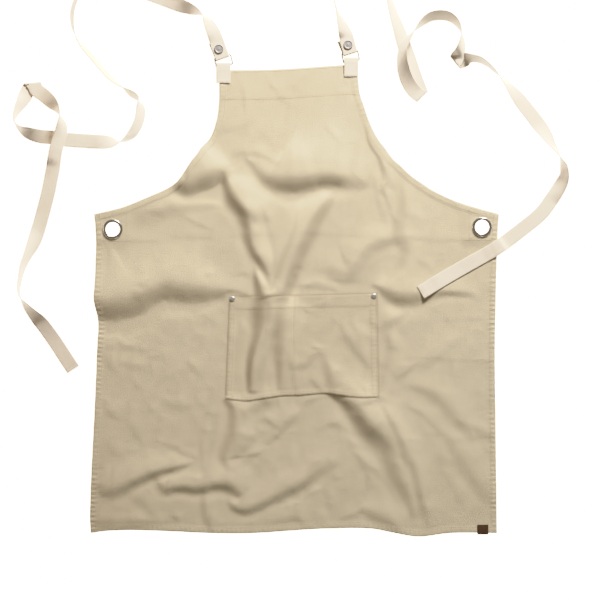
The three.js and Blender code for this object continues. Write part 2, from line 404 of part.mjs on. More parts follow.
function strapStations(runs, step) {
  const stations = [];
  let before = null;
  for (const run of runs) {
    const after = run.fold ? foldFrame(run.fold) : null;
    const pts = run.rows.map(([u, v, roll, lift]) => [X(u), Y(v), roll, lift]);
    const lead = 6;
    if (before) {
      const [r0, l0] = [before.roll + 180, before.lift + before.side * 2 * before.r];
      const turn = Math.round((pts[0][2] - r0) / 360) * 360;
      pts.unshift([before.back[0], before.back[1], r0 + turn, l0],
        [before.back[0] + before.out[0] * lead, before.back[1] + before.out[1] * lead, r0 + turn, l0]);
    }
    if (after) {
      const lastRow = pts[pts.length - 1], roll = Math.round(lastRow[2] / 180) * 180;
      after.roll = roll; after.lift = after.side > 0 ? (after.r === LOOP_R ? SNAP.stubZ : 0) : 2 * after.r;
      pts.push([after.at[0] - after.into[0] * lead, after.at[1] - after.into[1] * lead, roll, after.lift],
        [after.at[0], after.at[1], roll, after.lift]);
    }
    const curve = spline(pts), fine = [];
    let s = 0, prev = null;
    for (let k = 0; k <= (pts.length - 1) * 40; k++) {
      const p = curve(k / 40);
      if (prev) s += Math.hypot(p[0] - prev[0], p[1] - prev[1]);
      fine.push([s, ...p]); prev = p;
    }
    const total = s, list = [];
    const near = fold => WEB_WIDTH / 2 * Math.sqrt(1 - fold.b * fold.b) / fold.b + 3;
    const s0 = before ? (before.r === LOOP_R ? 26 : near(before)) : 0, s1 = after ? total - near(after) : total;
    const bend = Math.PI * 0.5;
    if (before) for (let k = 3; k >= 0; k--) list.push(-bend * before.r / before.b * k / 3.5);
    if (before && s0 > 4) list.push(s0 / 2);
    const count = Math.max(1, Math.round((s1 - s0) / step));
    for (let k = 0; k <= count; k++) if (s0 + (s1 - s0) * k / count > 1e-6 || !before) list.push(s0 + (s1 - s0) * k / count);
    if (after && total - s1 > 4) list.push((s1 + total) / 2);
    if (after) for (let k = 0; k <= 3; k++) list.push(total + bend * after.r / after.b * k / 3.5);
    for (const at of [...new Set(list)].sort((a, b) => a - b)) {
      const c = clamp(at, 0, total);
      let i = 1; while (i < fine.length - 1 && fine[i][0] < c) i++;
      const f = (c - fine[i - 1][0]) / Math.max(1e-9, fine[i][0] - fine[i - 1][0]);
      const p = fine[i].map((x, k) => fine[i - 1][k] + (x - fine[i - 1][k]) * f);
      let dir = unit2([fine[Math.min(fine.length - 1, i + 2)][1] - fine[Math.max(0, i - 3)][1],
        fine[Math.min(fine.length - 1, i + 2)][2] - fine[Math.max(0, i - 3)][2]]);
      if (before && at <= 0) dir = before.out;
      if (after && at >= total - 1e-6) dir = after.into;
      const over = at - c;
      stations.push({ at: [p[1] + dir[0] * over, p[2] + dir[1] * over], dir, roll: p[3] * Math.PI / 180, lift: p[4],
        before: before && at < s0 + 4 ? before : null, after: after && at > s1 - 4 ? after : null });
    }
    before = after;
  }
  return stations;
}
function underStrap(p, dir, places) { // highest cloth under the strap's width
  let z = 0;
  for (const t of [-0.5, 0, 0.5]) for (const q of [-14, 0, 14]) {
    const x = p[0] - dir[1] * t * WEB_WIDTH + dir[0] * q, y = p[1] + dir[0] * t * WEB_WIDTH + dir[1] * q;
    const u = x / UNIT + ORIGIN_U, v = ORIGIN_V - y / UNIT;
    if (u < 500 && u > 300 && v > 214 && v < 400) z = Math.max(z, clothZ(u, v) + CLOTH + 0.9);
  }
  return z;
}
function strap(runs, snap) {
  const stations = strapStations(runs, STEP), columns = 2, face = [[], []];
  const rest = stations.map(s => underStrap(s.at, s.dir));
  stations.forEach((s, i) => {
    const sag = [i - 1, i, i + 1].map(k => rest[clamp(k, 0, rest.length - 1)]);
    const lift = s.lift + Math.max(rest[i], (sag[0] + 2 * sag[1] + sag[2]) / 4);
    const zMid = WEB_THICK / 2 + lift + WEB_WIDTH / 2 * Math.abs(Math.sin(s.roll));
    const T = new THREE.Vector3(s.dir[0], s.dir[1], 0), N = new THREE.Vector3(-s.dir[1], s.dir[0], 0);
    const W = N.multiplyScalar(Math.cos(s.roll)).add(new THREE.Vector3(0, 0, Math.sin(s.roll)));
    const F = new THREE.Vector3().crossVectors(T, W);
    const rowA = [], rowB = [];
    for (let j = 0; j <= columns; j++) {
      const t = (j / columns - 0.5) * WEB_WIDTH;
      let mid = new THREE.Vector3(s.at[0], s.at[1], zMid).addScaledVector(W, t), n = F.clone();
      for (const [fold, far] of [[s.after, false], [s.before, true]]) {
        if (!fold) continue;
        const base = far ? fold.back : fold.at;
        const q = [mid.x - base[0], mid.y - base[1]];
        const d = q[0] * fold.over[0] + q[1] * fold.over[1], a = q[0] * fold.line[0] + q[1] * fold.line[1];
        if (d <= 0) continue;
        const angle = far ? Math.PI - d / fold.r : d / fold.r;
        const z0 = WEB_THICK / 2 + fold.lift, sign = Math.cos(fold.roll * Math.PI / 180) > 0 ? 1 : -1;
        mid = new THREE.Vector3(
          base[0] + a * fold.line[0] + fold.over[0] * fold.r * Math.sin(angle),
          base[1] + a * fold.line[1] + fold.over[1] * fold.r * Math.sin(angle),
          z0 + fold.side * fold.r * (1 - Math.cos(angle)));
        n = new THREE.Vector3(-fold.over[0] * Math.sin(angle), -fold.over[1] * Math.sin(angle), fold.side * Math.cos(angle))
          .multiplyScalar(sign * fold.side);
      }
      rowA.push(mid.clone().addScaledVector(n, -WEB_THICK / 2).toArray());
      rowB.push(mid.clone().addScaledVector(n, WEB_THICK / 2).toArray());
    }
    face[0].push(rowA); face[1].push(rowB);
  });
  return cut(slabFrom(face[0], face[1]), rod(snap[0], snap[1], SNAP.hole, -2, 12, 16));
}

// ---------- assembly ----------
const cloth = new THREE.MeshStandardMaterial({ color: 0xc9bb97, roughness: 0.9, metalness: 0 });
const webbing = new THREE.MeshStandardMaterial({ color: 0xefe5d3, roughness: 0.85, metalness: 0 });
const chrome = new THREE.MeshStandardMaterial({ color: 0xc8c8c6, roughness: 0.22, metalness: 1 });
const antique = new THREE.MeshStandardMaterial({ color: 0xa39d98, roughness: 0.38, metalness: 1 });
const leather = new THREE.MeshStandardMaterial({ color: 0x8a6a48, roughness: 0.7, metalness: 0 });

const apron = new THREE.Group();
function add(name, geometry, material) {
  const mesh = new THREE.Mesh(geometry, material.clone());
  mesh.name = name;
  apron.add(mesh);
}
add('apron_panel', panel, cloth);
add('pocket_panel', pocket, cloth);
add('eyelet_patch_left', patchLeft, cloth);
add('eyelet_patch_right', patchRight, cloth);
add('eyelet_left', turned(EYELET_PROFILE, EYELETS.left, 24), chrome);
add('eyelet_right', turned(EYELET_PROFILE, EYELETS.right, 24), chrome);
add('pocket_rivet_left', turned(RIVET_PROFILE, RIVETS.left, 12), antique);
add('pocket_rivet_right', turned(RIVET_PROFILE, RIVETS.right, 12), antique);
add('tab_left', tab(TABS.left), webbing);
add('tab_right', tab(TABS.right), webbing);
add('ring_left', ring(RINGS.left), chrome);
add('ring_right', ring(RINGS.right), chrome);
add('strap_left', strap(STRAP_LEFT, SNAP_LEFT), webbing);
add('strap_right', strap(STRAP_RIGHT, SNAP_RIGHT), webbing);
add('snap_cap_left', turned(CAP_PROFILE, SNAP_LEFT, 16), antique);
add('snap_cap_right', turned(CAP_PROFILE, SNAP_RIGHT, 16), antique);
add('snap_socket_left', turned(SOCKET_PROFILE, SNAP_LEFT, 16), antique);
add('snap_socket_right', turned(SOCKET_PROFILE, SNAP_RIGHT, 16), antique);
add('hem_label', label(LABEL), leather);

export default apron;
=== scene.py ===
import bpy, math
import numpy as np
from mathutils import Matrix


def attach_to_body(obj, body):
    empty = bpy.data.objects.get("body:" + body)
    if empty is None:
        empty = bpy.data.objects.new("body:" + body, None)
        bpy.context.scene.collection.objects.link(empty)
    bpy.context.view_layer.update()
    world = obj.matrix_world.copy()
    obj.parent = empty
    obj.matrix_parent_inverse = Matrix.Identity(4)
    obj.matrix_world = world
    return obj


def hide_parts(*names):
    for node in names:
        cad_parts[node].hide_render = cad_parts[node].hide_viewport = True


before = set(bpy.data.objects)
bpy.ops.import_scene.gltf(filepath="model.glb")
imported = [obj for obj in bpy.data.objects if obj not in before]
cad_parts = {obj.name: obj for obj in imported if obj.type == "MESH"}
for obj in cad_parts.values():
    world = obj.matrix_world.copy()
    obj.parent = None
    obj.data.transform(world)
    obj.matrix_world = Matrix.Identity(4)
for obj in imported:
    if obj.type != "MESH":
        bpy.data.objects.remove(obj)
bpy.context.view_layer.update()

# ---------------------------------------------------------------- places and sizes
# View units (u across, v down) are 1.8 mm; everything made here is in metres.
UNIT = 1.80
ORIGIN_U, ORIGIN_V = 294.087, 293.118
CLOTH = 1.0                 # mm
WEB_WIDTH, WEB_THICK = 25.4, 1.3
LOOP_R, CREASE_R = 2.25, 1.5
TAB_R, TAB_Z = 2.5, 3.4
TOP_V, WAIST_V, FOOT_V = 68.0, 214.0, 532.0


def X(u):
    return (np.asarray(u, float) - ORIGIN_U) * UNIT


def Y(v):
    return (ORIGIN_V - np.asarray(v, float)) * UNIT


def smooth(t):
    t = np.clip(t, 0, 1)
    return t * t * (3 - 2 * t)


# ---------------------------------------------------------------- camera and light
def make_camera():
    cam = bpy.data.cameras.new("camera")
    cam.sensor_width = 36.0
    distance = 5.0
    cam.lens = 36.0 * distance / (600 * UNIT / 1000)
    cam.clip_end = 50
    ob = bpy.data.objects.new("camera", cam)
    bpy.context.collection.objects.link(ob)
    ob.location = (float(X(300)) / 1000, float(Y(300)) / 1000, distance)
    ob.rotation_euler = (0, 0, 0)
    bpy.context.scene.camera = ob


def make_light():
    def area(name, loc, aim, size, power, color):
        d = bpy.data.lights.new(name, "AREA")
        d.shape = "DISK"
        d.size = size
        d.energy = power
        d.color = color
        ob = bpy.data.objects.new(name, d)
        bpy.context.collection.objects.link(ob)
        ob.location = loc
        dx, dy, dz = (aim[i] - loc[i] for i in range(3))
        yaw = math.atan2(dy, dx)
        pitch = math.atan2(math.hypot(dx, dy), -dz)
        ob.rotation_euler = (pitch, 0, yaw - math.pi / 2)
        return ob
    area("key", (0.85, 2.45, 1.25), (0.0, 0.05, 0.0), 0.7, 162, (1.0, 0.985, 0.96))
    area("fill_left", (-2.3, 0.2, 1.3), (0.0, 0.0, 0.0), 0.8, 6, (1.0, 0.66, 0.42))
    area("fill_low", (0.5, -1.9, 1.0), (0.0, 0.0, 0.0), 0.8, 2.5, (0.92, 1.0, 0.92))
    world = bpy.data.worlds.new("studio")
    bpy.context.scene.world = world
    world.use_nodes = True
    bg = world.node_tree.nodes["Background"]
    bg.inputs["Color"].default_value = (1.0, 0.84, 0.62, 1)
    bg.inputs["Strength"].default_value = 0.17
    # a white studio beyond the floor's edge, which lights nothing
    nt = world.node_tree
    seen = nt.nodes.new("ShaderNodeBackground")
    seen.inputs["Color"].default_value = (1, 1, 1, 1)
    seen.inputs["Strength"].default_value = 2.3
    path = nt.nodes.new("ShaderNodeLightPath")
    mix = nt.nodes.new("ShaderNodeMixShader")
    nt.links.new(path.outputs["Is Camera Ray"], mix.inputs[0])
    nt.links.new(bg.outputs[0], mix.inputs[1])
    nt.links.new(seen.outputs[0], mix.inputs[2])
    nt.links.new(mix.outputs[0], nt.nodes["World Output"].inputs["Surface"])
    scene = bpy.context.scene
    scene.view_settings.view_transform = "Standard"
    scene.view_settings.look = "None"
    scene.view_settings.exposure = 0.0
    scene.view_settings.gamma = 1.0
    # highlights roll off as in a photograph and stay a little warm until white
    scene.view_settings.use_curve_mapping = True
    curves = scene.view_settings.curve_mapping
    curves.use_clip = False
    curves.clip_max_x = 8.0
    rolls = [
        [(0.0, 0.0), (0.6, 0.6), (0.75, 0.742), (0.85, 0.80), (1.0, 0.85), (1.3, 0.91), (1.6, 0.94), (1.95, 0.955), (2.25, 1.0), (6.0, 1.0)],
        [(0.0, 0.0), (0.55, 0.55), (0.7, 0.692), (0.8, 0.75), (0.95, 0.795), (1.3, 0.86), (1.6, 0.90), (1.95, 0.925), (2.25, 1.0), (6.0, 1.0)],
        [(0.0, 0.0), (0.45, 0.45), (0.6, 0.59), (0.7, 0.645), (0.85, 0.695), (1.3, 0.775), (1.6, 0.82), (1.95, 0.86), (2.25, 1.0), (6.0, 1.0)]]
    for curve, points in zip(curves.curves, rolls):
        curve.points[0].location = points[0]
        curve.points[1].location = points[-1]
        for x, y in points[1:-1]:
            curve.points.new(x, y)
        for pt in curve.points:
            pt.handle_type = "AUTO_CLAMPED"
    curves.update()


# ---------------------------------------------------------------- node helpers
class Tree:
    def __init__(self, name):
        self.mat = bpy.data.materials.new(name)
        self.mat.use_nodes = True
        self.t = self.mat.node_tree
        self.t.nodes.clear()
        self.out = self.new("ShaderNodeOutputMaterial")
        self.bsdf = self.new("ShaderNodeBsdfPrincipled")
        self.link(self.bsdf.outputs[0], self.out.inputs[0])

    def new(self, kind, **props):
        n = self.t.nodes.new(kind)
        for k, v in props.items():
            setattr(n, k, v)
        return n

    def link(self, a, b):
        self.t.links.new(a, b)

    def put(self, socket, value):
        if hasattr(value, "is_output") or isinstance(value, bpy.types.NodeSocket):
            self.link(value, socket)
        else:
            socket.default_value = value

    def math(self, op, a, b=0.0, c=None):
        n = self.new("ShaderNodeMath", operation=op)
        self.put(n.inputs[0], a)
        self.put(n.inputs[1], b)
        if c is not None:
            self.put(n.inputs[2], c)
        return n.outputs[0]

    def coords(self, which="Object"):
        return self.new("ShaderNodeTexCoord").outputs[which]

    def mapping(self, vec, scale=(1, 1, 1), rot=(0, 0, 0), loc=(0, 0, 0)):
        n = self.new("ShaderNodeMapping")
        self.link(vec, n.inputs["Vector"])
        n.inputs["Scale"].default_value = scale
        n.inputs["Rotation"].default_value = rot
        n.inputs["Location"].default_value = loc
        return n.outputs[0]

    def noise(self, vec, scale, detail=3.0, rough=0.5):
        n = self.new("ShaderNodeTexNoise")
        self.link(vec, n.inputs["Vector"])
        n.inputs["Scale"].default_value = scale
        n.inputs["Detail"].default_value = detail
        n.inputs["Roughness"].default_value = rough
        return n.outputs["Fac"]

    def wave(self, vec, scale, direction="X", distortion=0.0, profile="SIN"):
        n = self.new("ShaderNodeTexWave", wave_type="BANDS", bands_direction=direction, wave_profile=profile)
        self.link(vec, n.inputs["Vector"])
        n.inputs["Scale"].default_value = scale
        n.inputs["Distortion"].default_value = distortion
        return n.outputs["Fac"]

    def ramp(self, fac, stops):
        n = self.new("ShaderNodeValToRGB")
        self.link(fac, n.inputs[0])
        e = n.color_ramp.elements
        while len(e) < len(stops):
            e.new(0.5)
        for el, (pos, col) in zip(e, stops):
            el.position = pos
            el.color = (*col, 1) if len(col) == 3 else col
        return n.outputs[0]

    def mix(self, fac, a, b, kind="MIX"):
        n = self.new("ShaderNodeMix", data_type="RGBA", blend_type=kind)
        self.put(n.inputs[0], fac)
        self.put(n.inputs[6], (*a, 1) if isinstance(a, tuple) and len(a) == 3 else a)
        self.put(n.inputs[7], (*b, 1) if isinstance(b, tuple) and len(b) == 3 else b)
        return n.outputs[2]

    def bump(self, height, strength=0.3, distance=0.001, normal=None):
        n = self.new("ShaderNodeBump")
        n.inputs["Strength"].default_value = strength
        n.inputs["Distance"].default_value = distance
        self.link(height, n.inputs["Height"])
        if normal is not None:
            self.link(normal, n.inputs["Normal"])
        return n.outputs[0]

    def base(self, value):
        self.put(self.bsdf.inputs["Base Color"], value)

    def set(self, **kw):
        for k, v in kw.items():
            self.bsdf.inputs[k.replace("_", " ")].default_value = v

    def normal(self, value):
        self.link(value, self.bsdf.inputs["Normal"])


def twill(name, tint=(1, 1, 1), scale=1.0):
    m = Tree(name)
    co = m.coords("Object")
    light, dark = (0.634, 0.564, 0.423), (0.550, 0.480, 0.348)
    light = tuple(a * b for a, b in zip(light, tint))
    dark = tuple(a * b for a, b in zip(dark, tint))
    big = m.noise(co, 7.0, 3.0, 0.55)
    slub = m.noise(m.mapping(co, scale=(260, 900, 260)), 1.0, 2.0)
    slub2 = m.noise(m.mapping(co, scale=(1100, 240, 300)), 1.0, 2.0)
    # twill lines, 0.8 mm apart, running up to the right
    lines = m.wave(m.mapping(co, rot=(0, 0, math.radians(-62))), 1 / 0.0008 / 3.2 * scale, "X", 0.6)
    c = m.mix(m.math("MULTIPLY", big, 0.45), light, dark)
    c = m.mix(m.math("MULTIPLY", slub, 0.30), c, tuple(x * 0.80 for x in dark))
    c = m.mix(m.math("MULTIPLY", slub2, 0.16), c, tuple(min(1, x * 1.12) for x in light))
    c = m.mix(m.math("MULTIPLY", lines, 0.14), c, tuple(x * 0.72 for x in dark))
    # painted shade: the crease attribute darkens the cloth's colour to warm brown in fold cores, along the pocket's
    # edges and towards the bottom-left corner
    crease = m.new("ShaderNodeAttribute", attribute_name="crease").outputs["Fac"]
    c = m.mix(crease, c, (0.15, 0.09, 0.038))
    # turned hems draw up in small ripples between the stitches; the ripples bump the surface and also darken its colour
    # as painted shade
    sides = m.new("ShaderNodeAttribute", attribute_name="hem_side").outputs["Fac"]
    foot = m.new("ShaderNodeAttribute", attribute_name="hem_foot").outputs["Fac"]
    wobble = m.noise(co, 60.0, 2.0)
    up = m.wave(m.mapping(co, loc=(0, 0.0, 0)), 1 / 0.0082 / 3.2, "Y", 1.6)
    across = m.wave(co, 1 / 0.0082 / 3.2, "X", 1.6)
    ripple = m.math("ADD", m.math("MULTIPLY", sides, up), m.math("MULTIPLY", foot, across))
    ripple = m.math("MULTIPLY", ripple, m.math("ADD", 0.35, m.math("MULTIPLY", wobble, 1.1)))
    # painted shade: the cloth's colour darkens along the hem ripples
    c = m.mix(m.math("MULTIPLY", ripple, 0.30), c, tuple(x * 0.55 for x in dark))
    m.base(c)
    crumple = m.noise(co, 46.0, 2.0, 0.5)
    warp = m.noise(m.mapping(co, scale=(640, 55, 60)), 1.0, 3.0)
    weft = m.noise(m.mapping(co, scale=(55, 640, 60)), 1.0, 3.0)
    fine = m.math("ADD", warp, weft)
    n0 = m.bump(ripple, 0.8, 0.0011)
    n1 = m.bump(crumple, 0.36, 0.0014, n0)
    n2 = m.bump(fine, 0.36, 0.0004, n1)
    n3 = m.bump(m.math("ADD", lines, m.math("MULTIPLY", slub, 0.7)), 0.5, 0.00022, n2)
    m.normal(n3)
    m.set(Roughness=0.86, Sheen_Weight=0.12, Sheen_Roughness=0.5, Specular_IOR_Level=0.25)
    return m.mat


def webbing(name, painted_brightness=1.0):
    m = Tree(name)
    pale, deep = (0.86, 0.795, 0.692), (0.76, 0.683, 0.577)
    line, gap = (0.66, 0.585, 0.49), (0.60, 0.52, 0.42)
    pale, deep, line, gap = (tuple(x * painted_brightness for x in col) for col in (pale, deep, line, gap))
    uv = m.coords("UV")
    co = m.coords("Object")
    # uv is in metres: x across the strap, y along it
    parts = m.new("ShaderNodeSeparateXYZ")
    m.link(uv, parts.inputs[0])
    edge_band = m.math("GREATER_THAN", m.math("ABSOLUTE", parts.outputs[0]), 0.0113)
    ribs = m.wave(m.mapping(uv, scale=(1, 1, 1)), 1 / 0.0017 / 3.2, "Y", 0.25)
    yarn = m.wave(m.mapping(uv, scale=(1, 1, 1)), 1 / 0.0013 / 3.2, "X", 0.2)
    weave = m.math("MULTIPLY", ribs, yarn)
    dirt = m.noise(co, 28.0, 3.0)
    fleck = m.noise(m.mapping(uv, scale=(420, 120, 1)), 1.0, 2.0)
    streak = m.noise(m.mapping(uv, scale=(620, 26, 1)), 1.0, 2.0)
    c = m.mix(m.math("MULTIPLY", dirt, 0.62), pale, deep)
    c = m.mix(m.math("MULTIPLY", streak, 0.60), c, line)
    c = m.mix(m.math("MULTIPLY", m.math("SUBTRACT", 1.0, weave), 0.28), c, gap)
    c = m.mix(m.math("MULTIPLY", fleck, 0.14), c, (0.86, 0.81, 0.73))
    # both edges of the strap darker, the outer 1.4 mm
    c = m.mix(m.math("MULTIPLY", edge_band, 0.35), c, gap)
    m.base(c)
    n1 = m.bump(m.noise(co, 90.0, 3.0), 0.32, 0.0007)
    n2 = m.bump(weave, 0.6, 0.00035, n1)
    m.normal(n2)
    m.set(Roughness=0.84, Sheen_Weight=0.10, Sheen_Roughness=0.5, Specular_IOR_Level=0.25)
    return m.mat


def thread(name, col, col2):
    m = Tree(name)
    co = m.coords("Object")
    c = m.mix(m.noise(co, 300.0, 2.0), col, col2)
    m.base(c)
    twist = m.wave(m.mapping(co, rot=(0, 0, 0.7)), 1 / 0.0005 / 3.2, "X")
    m.normal(m.bump(twist, 0.5, 0.0001))
    m.set(Roughness=0.7, Specular_IOR_Level=0.3)
    return m.mat


def metal(name, col, rough, wear=0.5, metallic=1.0):
    m = Tree(name)
    co = m.coords("Object")
    n = m.noise(co, 420.0, 4.0, 0.6)
    dark = tuple(x * 0.72 for x in col)
    m.base(m.mix(m.math("MULTIPLY", n, wear), col, dark))
    scratch = m.noise(m.mapping(co, scale=(900, 3200, 900)), 1.0, 2.0)
    r = m.math("ADD", rough - 0.06, m.math("MULTIPLY", scratch, 0.16))
    m.put(m.bsdf.inputs["Roughness"], r)
    m.normal(m.bump(scratch, 0.12, 0.0001))
    m.set(Metallic=metallic)
    return m.mat


def leather(name):
    m = Tree(name)
    co = m.coords("Object")
    v = m.new("ShaderNodeTexVoronoi", feature="DISTANCE_TO_EDGE")
    m.link(co, v.inputs["Vector"])
    v.inputs["Scale"].default_value = 850.0
    grain = v.outputs["Distance"]
    spots = m.noise(co, 160.0, 3.0)
    c = m.mix(spots, (0.052, 0.025, 0.012), (0.098, 0.050, 0.025))
    m.base(c)
    n1 = m.bump(grain, 0.5, 0.0003)
    m.normal(m.bump(spots, 0.3, 0.0004, n1))
    m.set(Roughness=0.78, Specular_IOR_Level=0.2)
    return m.mat


def floor_material():
    m = Tree("floor_white")
    co = m.coords("Object")
    c = m.mix(m.noise(co, 1.2, 2.0), (0.93, 0.93, 0.925), (0.90, 0.90, 0.895))
    m.base(c)
    m.set(Roughness=0.9, Specular_IOR_Level=0.1)
    m.bsdf.inputs["Emission Color"].default_value = (1, 1, 1, 1)
    m.bsdf.inputs["Emission Strength"].default_value = 2.3
    return m.mat


# ---------------------------------------------------------------- mesh helpers
def new_object(name, verts, faces, material, uvs=None, sharp=50, shade=True):
    me = bpy.data.meshes.new(name)
    me.from_pydata([tuple(v) for v in np.asarray(verts)], [], [tuple(f) for f in faces])
    me.update()
    if shade:
        me.polygons.foreach_set("use_smooth", [True] * len(me.polygons))
        if sharp is not None:
            me.set_sharp_from_angle(angle=math.radians(sharp))
    if uvs is not None:
        layer = me.uv_layers.new(name="UVMap")
        loops = np.empty(len(me.loops), dtype=np.int32)
        me.loops.foreach_get("vertex_index", loops)
        layer.data.foreach_set("uv", np.asarray(uvs, dtype=np.float32)[loops].ravel())
    me.materials.append(material)
    ob = bpy.data.objects.new(name, me)
    bpy.context.collection.objects.link(ob)
    return ob


def slab(name, top, bottom, material, keep=None, uv=None, sharp=50):
    """Closed sheet from two equal grids (rows, columns, 3) in mm; keep masks its cells."""
    n, m = top.shape[:2]
    if keep is None:
        keep = np.ones((n - 1, m - 1), bool)
    idx = np.arange(n * m).reshape(n, m)
    a, b, c, d = idx[:-1, :-1][keep], idx[:-1, 1:][keep], idx[1:, 1:][keep], idx[1:, :-1][keep]
    quads = np.stack([a, b, c, d], 1)
    e = np.concatenate([quads[:, [0, 1]], quads[:, [1, 2]], quads[:, [2, 3]], quads[:, [3, 0]]])
    key = e.min(1) * (n * m) + e.max(1)
    order, counts = np.unique(key, return_counts=True)
    rim = e[np.isin(key, order[counts == 1])]
    off = n * m
    faces = [tuple(q) for q in quads] + [tuple(q[::-1] + off) for q in quads]
    faces += [(q[1], q[0], q[0] + off, q[1] + off) for q in rim]
    used = np.zeros(2 * n * m, bool)
    flat = np.concatenate([quads.ravel(), quads.ravel() + off])
    used[flat] = True
    remap = np.cumsum(used) - 1
    faces = [tuple(int(remap[i]) for i in f) for f in faces]
    verts = np.concatenate([top.reshape(-1, 3), bottom.reshape(-1, 3)])[used] / 1000.0
    # face direction: the first grid is the outside where its normal points up
    p = top
    nrm = np.cross(p[1, 1] - p[0, 0], p[0, 1] - p[1, 0])
    uvs = None
    if uv is not None:
        uvs = np.concatenate([uv.reshape(-1, 2), uv.reshape(-1, 2)])[used]
    vol = 0.0
    v = verts
    for f in faces[:: max(1, len(faces) // 4000)]:
        pass
    tri = np.array([(f[0], f[1], f[2]) for f in faces] + [(f[0], f[2], f[3]) for f in faces])
    vol = np.einsum("ij,ij->i", v[tri[:, 0]], np.cross(v[tri[:, 1]], v[tri[:, 2]])).sum()
    if vol < 0:
        faces = [f[::-1] for f in faces]
    return new_object(name, verts, faces, material, uvs, sharp)


def lathe(name, profile, centre, material, sides=96, sharp=35, base=0.0):
    """Profile of (radius, z) in mm, closed on itself or with its ends on the axis."""
    cx, cy = float(X(centre[0])), float(Y(centre[1]))
    closed = profile[0][0] > 1e-6
    prof = list(profile)
    verts, rings, faces = [], [], []
    for r, z in prof:
        if r < 1e-6:
            rings.append([len(verts)] * sides)
            verts.append((cx, cy, z + base))
        else:
            rings.append(list(range(len(verts), len(verts) + sides)))
            for k in range(sides):
                w = 2 * math.pi * k / sides
                verts.append((cx + r * math.cos(w), cy + r * math.sin(w), z + base))
    count = len(rings) if closed else len(rings) - 1
    for i in range(count):
        ra, rb = rings[i], rings[(i + 1) % len(rings)]
        for k in range(sides):
            k2 = (k + 1) % sides
            f = [ra[k], ra[k2], rb[k2], rb[k]]
            g = []
            for q in f:
                if q not in g:
                    g.append(q)
            if len(g) > 2:
                faces.append(tuple(g))
    v = np.array(verts) / 1000.0
    vol = 0.0
    for f in faces:
        for j in range(1, len(f) - 1):
            vol += np.dot(v[f[0]], np.cross(v[f[j]], v[f[j + 1]]))
    if vol < 0:
        faces = [f[::-1] for f in faces]
    return new_object(name, v, faces, material, None, sharp)


def tube_loop(name, path, radius, material, sides=16):
    p = np.array(path, float)
    n = len(p)
    verts, faces = [], []
    for i in range(n):
        t = p[(i + 1) % n] - p[i - 1]
        t /= np.linalg.norm(t)
        a = np.cross([0, 0, 1], t)
        a /= np.linalg.norm(a)
        b = np.cross(t, a)
        for k in range(sides):
            w = 2 * math.pi * k / sides
            verts.append(p[i] + radius * (math.cos(w) * a + math.sin(w) * b))
    for i in range(n):
        for k in range(sides):
            i2, k2 = (i + 1) % n, (k + 1) % sides
            faces.append((i * sides + k, i2 * sides + k, i2 * sides + k2, i * sides + k2))
    v = np.array(verts) / 1000.0
    vol = sum(np.dot(v[f[0]], np.cross(v[f[1]], v[f[2]])) + np.dot(v[f[0]], np.cross(v[f[2]], v[f[3]])) for f in faces)
    if vol < 0:
        faces = [f[::-1] for f in faces]
    return new_object(name, v, faces, material, None, None)


def stitches(name, runs, material, length=2.5, pitch=3.3, radius=0.28, sides=6):
    """runs: list of (n,3) arrays in mm, the lines that the thread follows on the surface."""
    verts, faces = [], []
    shape = [(-0.5, 0.25, -0.22), (-0.38, 0.8, 0.05), (-0.15, 1.0, 0.16), (0.15, 1.0, 0.16), (0.38, 0.8, 0.05), (0.5, 0.25, -0.22)]
    for run in runs:
        run = np.asarray(run, float)
        if len(run) < 2:
            continue
        seg = np.linalg.norm(np.diff(run, axis=0), axis=1)
        s = np.concatenate([[0], np.cumsum(seg)])
        count = int((s[-1] - length) // pitch) + 1
        if count < 1:
            continue
        start = (s[-1] - (count - 1) * pitch) / 2
        for k in range(count):
            c = start + k * pitch
            ends = [np.array([np.interp(q, s, run[:, j]) for j in range(3)]) for q in (c - length / 2, c + length / 2)]
            mid = np.array([np.interp(c, s, run[:, j]) for j in range(3)])
            t = ends[1] - ends[0]
            ln = np.linalg.norm(t)
            if ln < 1e-6:
                continue
            t /= ln
            up = np.array([0, 0, 1.0]) - t * t[2]
            up /= np.linalg.norm(up)
            side = np.cross(t, up)
            b = len(verts)
            for f, r, z in shape:
                for q in range(sides):
                    w = 2 * math.pi * q / sides
                    verts.append(mid + t * f * length + up * (z * 2 * radius + math.sin(w) * radius * r * 0.8) + side * math.cos(w) * radius * r)
            for i in range(len(shape) - 1):
                for q in range(sides):
                    q2 = (q + 1) % sides
                    faces.append((b + i * sides + q, b + i * sides + q2, b + (i + 1) * sides + q2, b + (i + 1) * sides + q))
            faces.append(tuple(b + q for q in range(sides))[::-1])
            e = b + (len(shape) - 1) * sides
            faces.append(tuple(e + q for q in range(sides)))
    v = np.array(verts) / 1000.0
    # one closed stitch tells which way the faces point
    f0 = faces[: (len(shape) - 1) * sides + 2]
    vol = 0.0
    o = v[f0[0][0]]
    for f in f0:
        for j in range(1, len(f) - 1):
            vol += np.dot(v[f[0]] - o, np.cross(v[f[j]] - o, v[f[j + 1]] - o))
    if vol < 0:
        faces = [f[::-1] for f in faces]
    return new_object(name, v, faces, material, None, None)


# ---------------------------------------------------------------- tables: outline
LEFT_EDGE = [  # v, u
    (66, 219), (85, 219), (100, 219), (112, 218), (122, 216), (138, 210), (148, 201), (154, 197),
    (160, 192), (166, 188), (172, 184), (178, 180), (184, 174), (190, 164), (196, 150), (202, 136),
    (208, 120), (214, 94), (222, 95), (240, 96), (280, 95), (300, 94), (320, 98), (350, 97),
    (400, 95), (440, 93), (480, 91), (520, 90), (534, 91)]
RIGHT_EDGE = [  # v, u
    (64, 357), (77, 358), (94, 360), (106, 364), (118, 368), (130, 373), (142, 380), (148, 385),
    (154, 389), (160, 394), (166, 401), (172, 407), (178, 414), (184, 423), (190, 432), (196, 444),
    (202, 458), (208, 477), (214, 499), (226, 498), (250, 497), (290, 496), (350, 495), (450, 496),
    (534, 497)]
TOP_EDGE = [(219, 70), (255, 70), (285, 69), (315, 67), (345, 65), (358, 65)]  # u, v
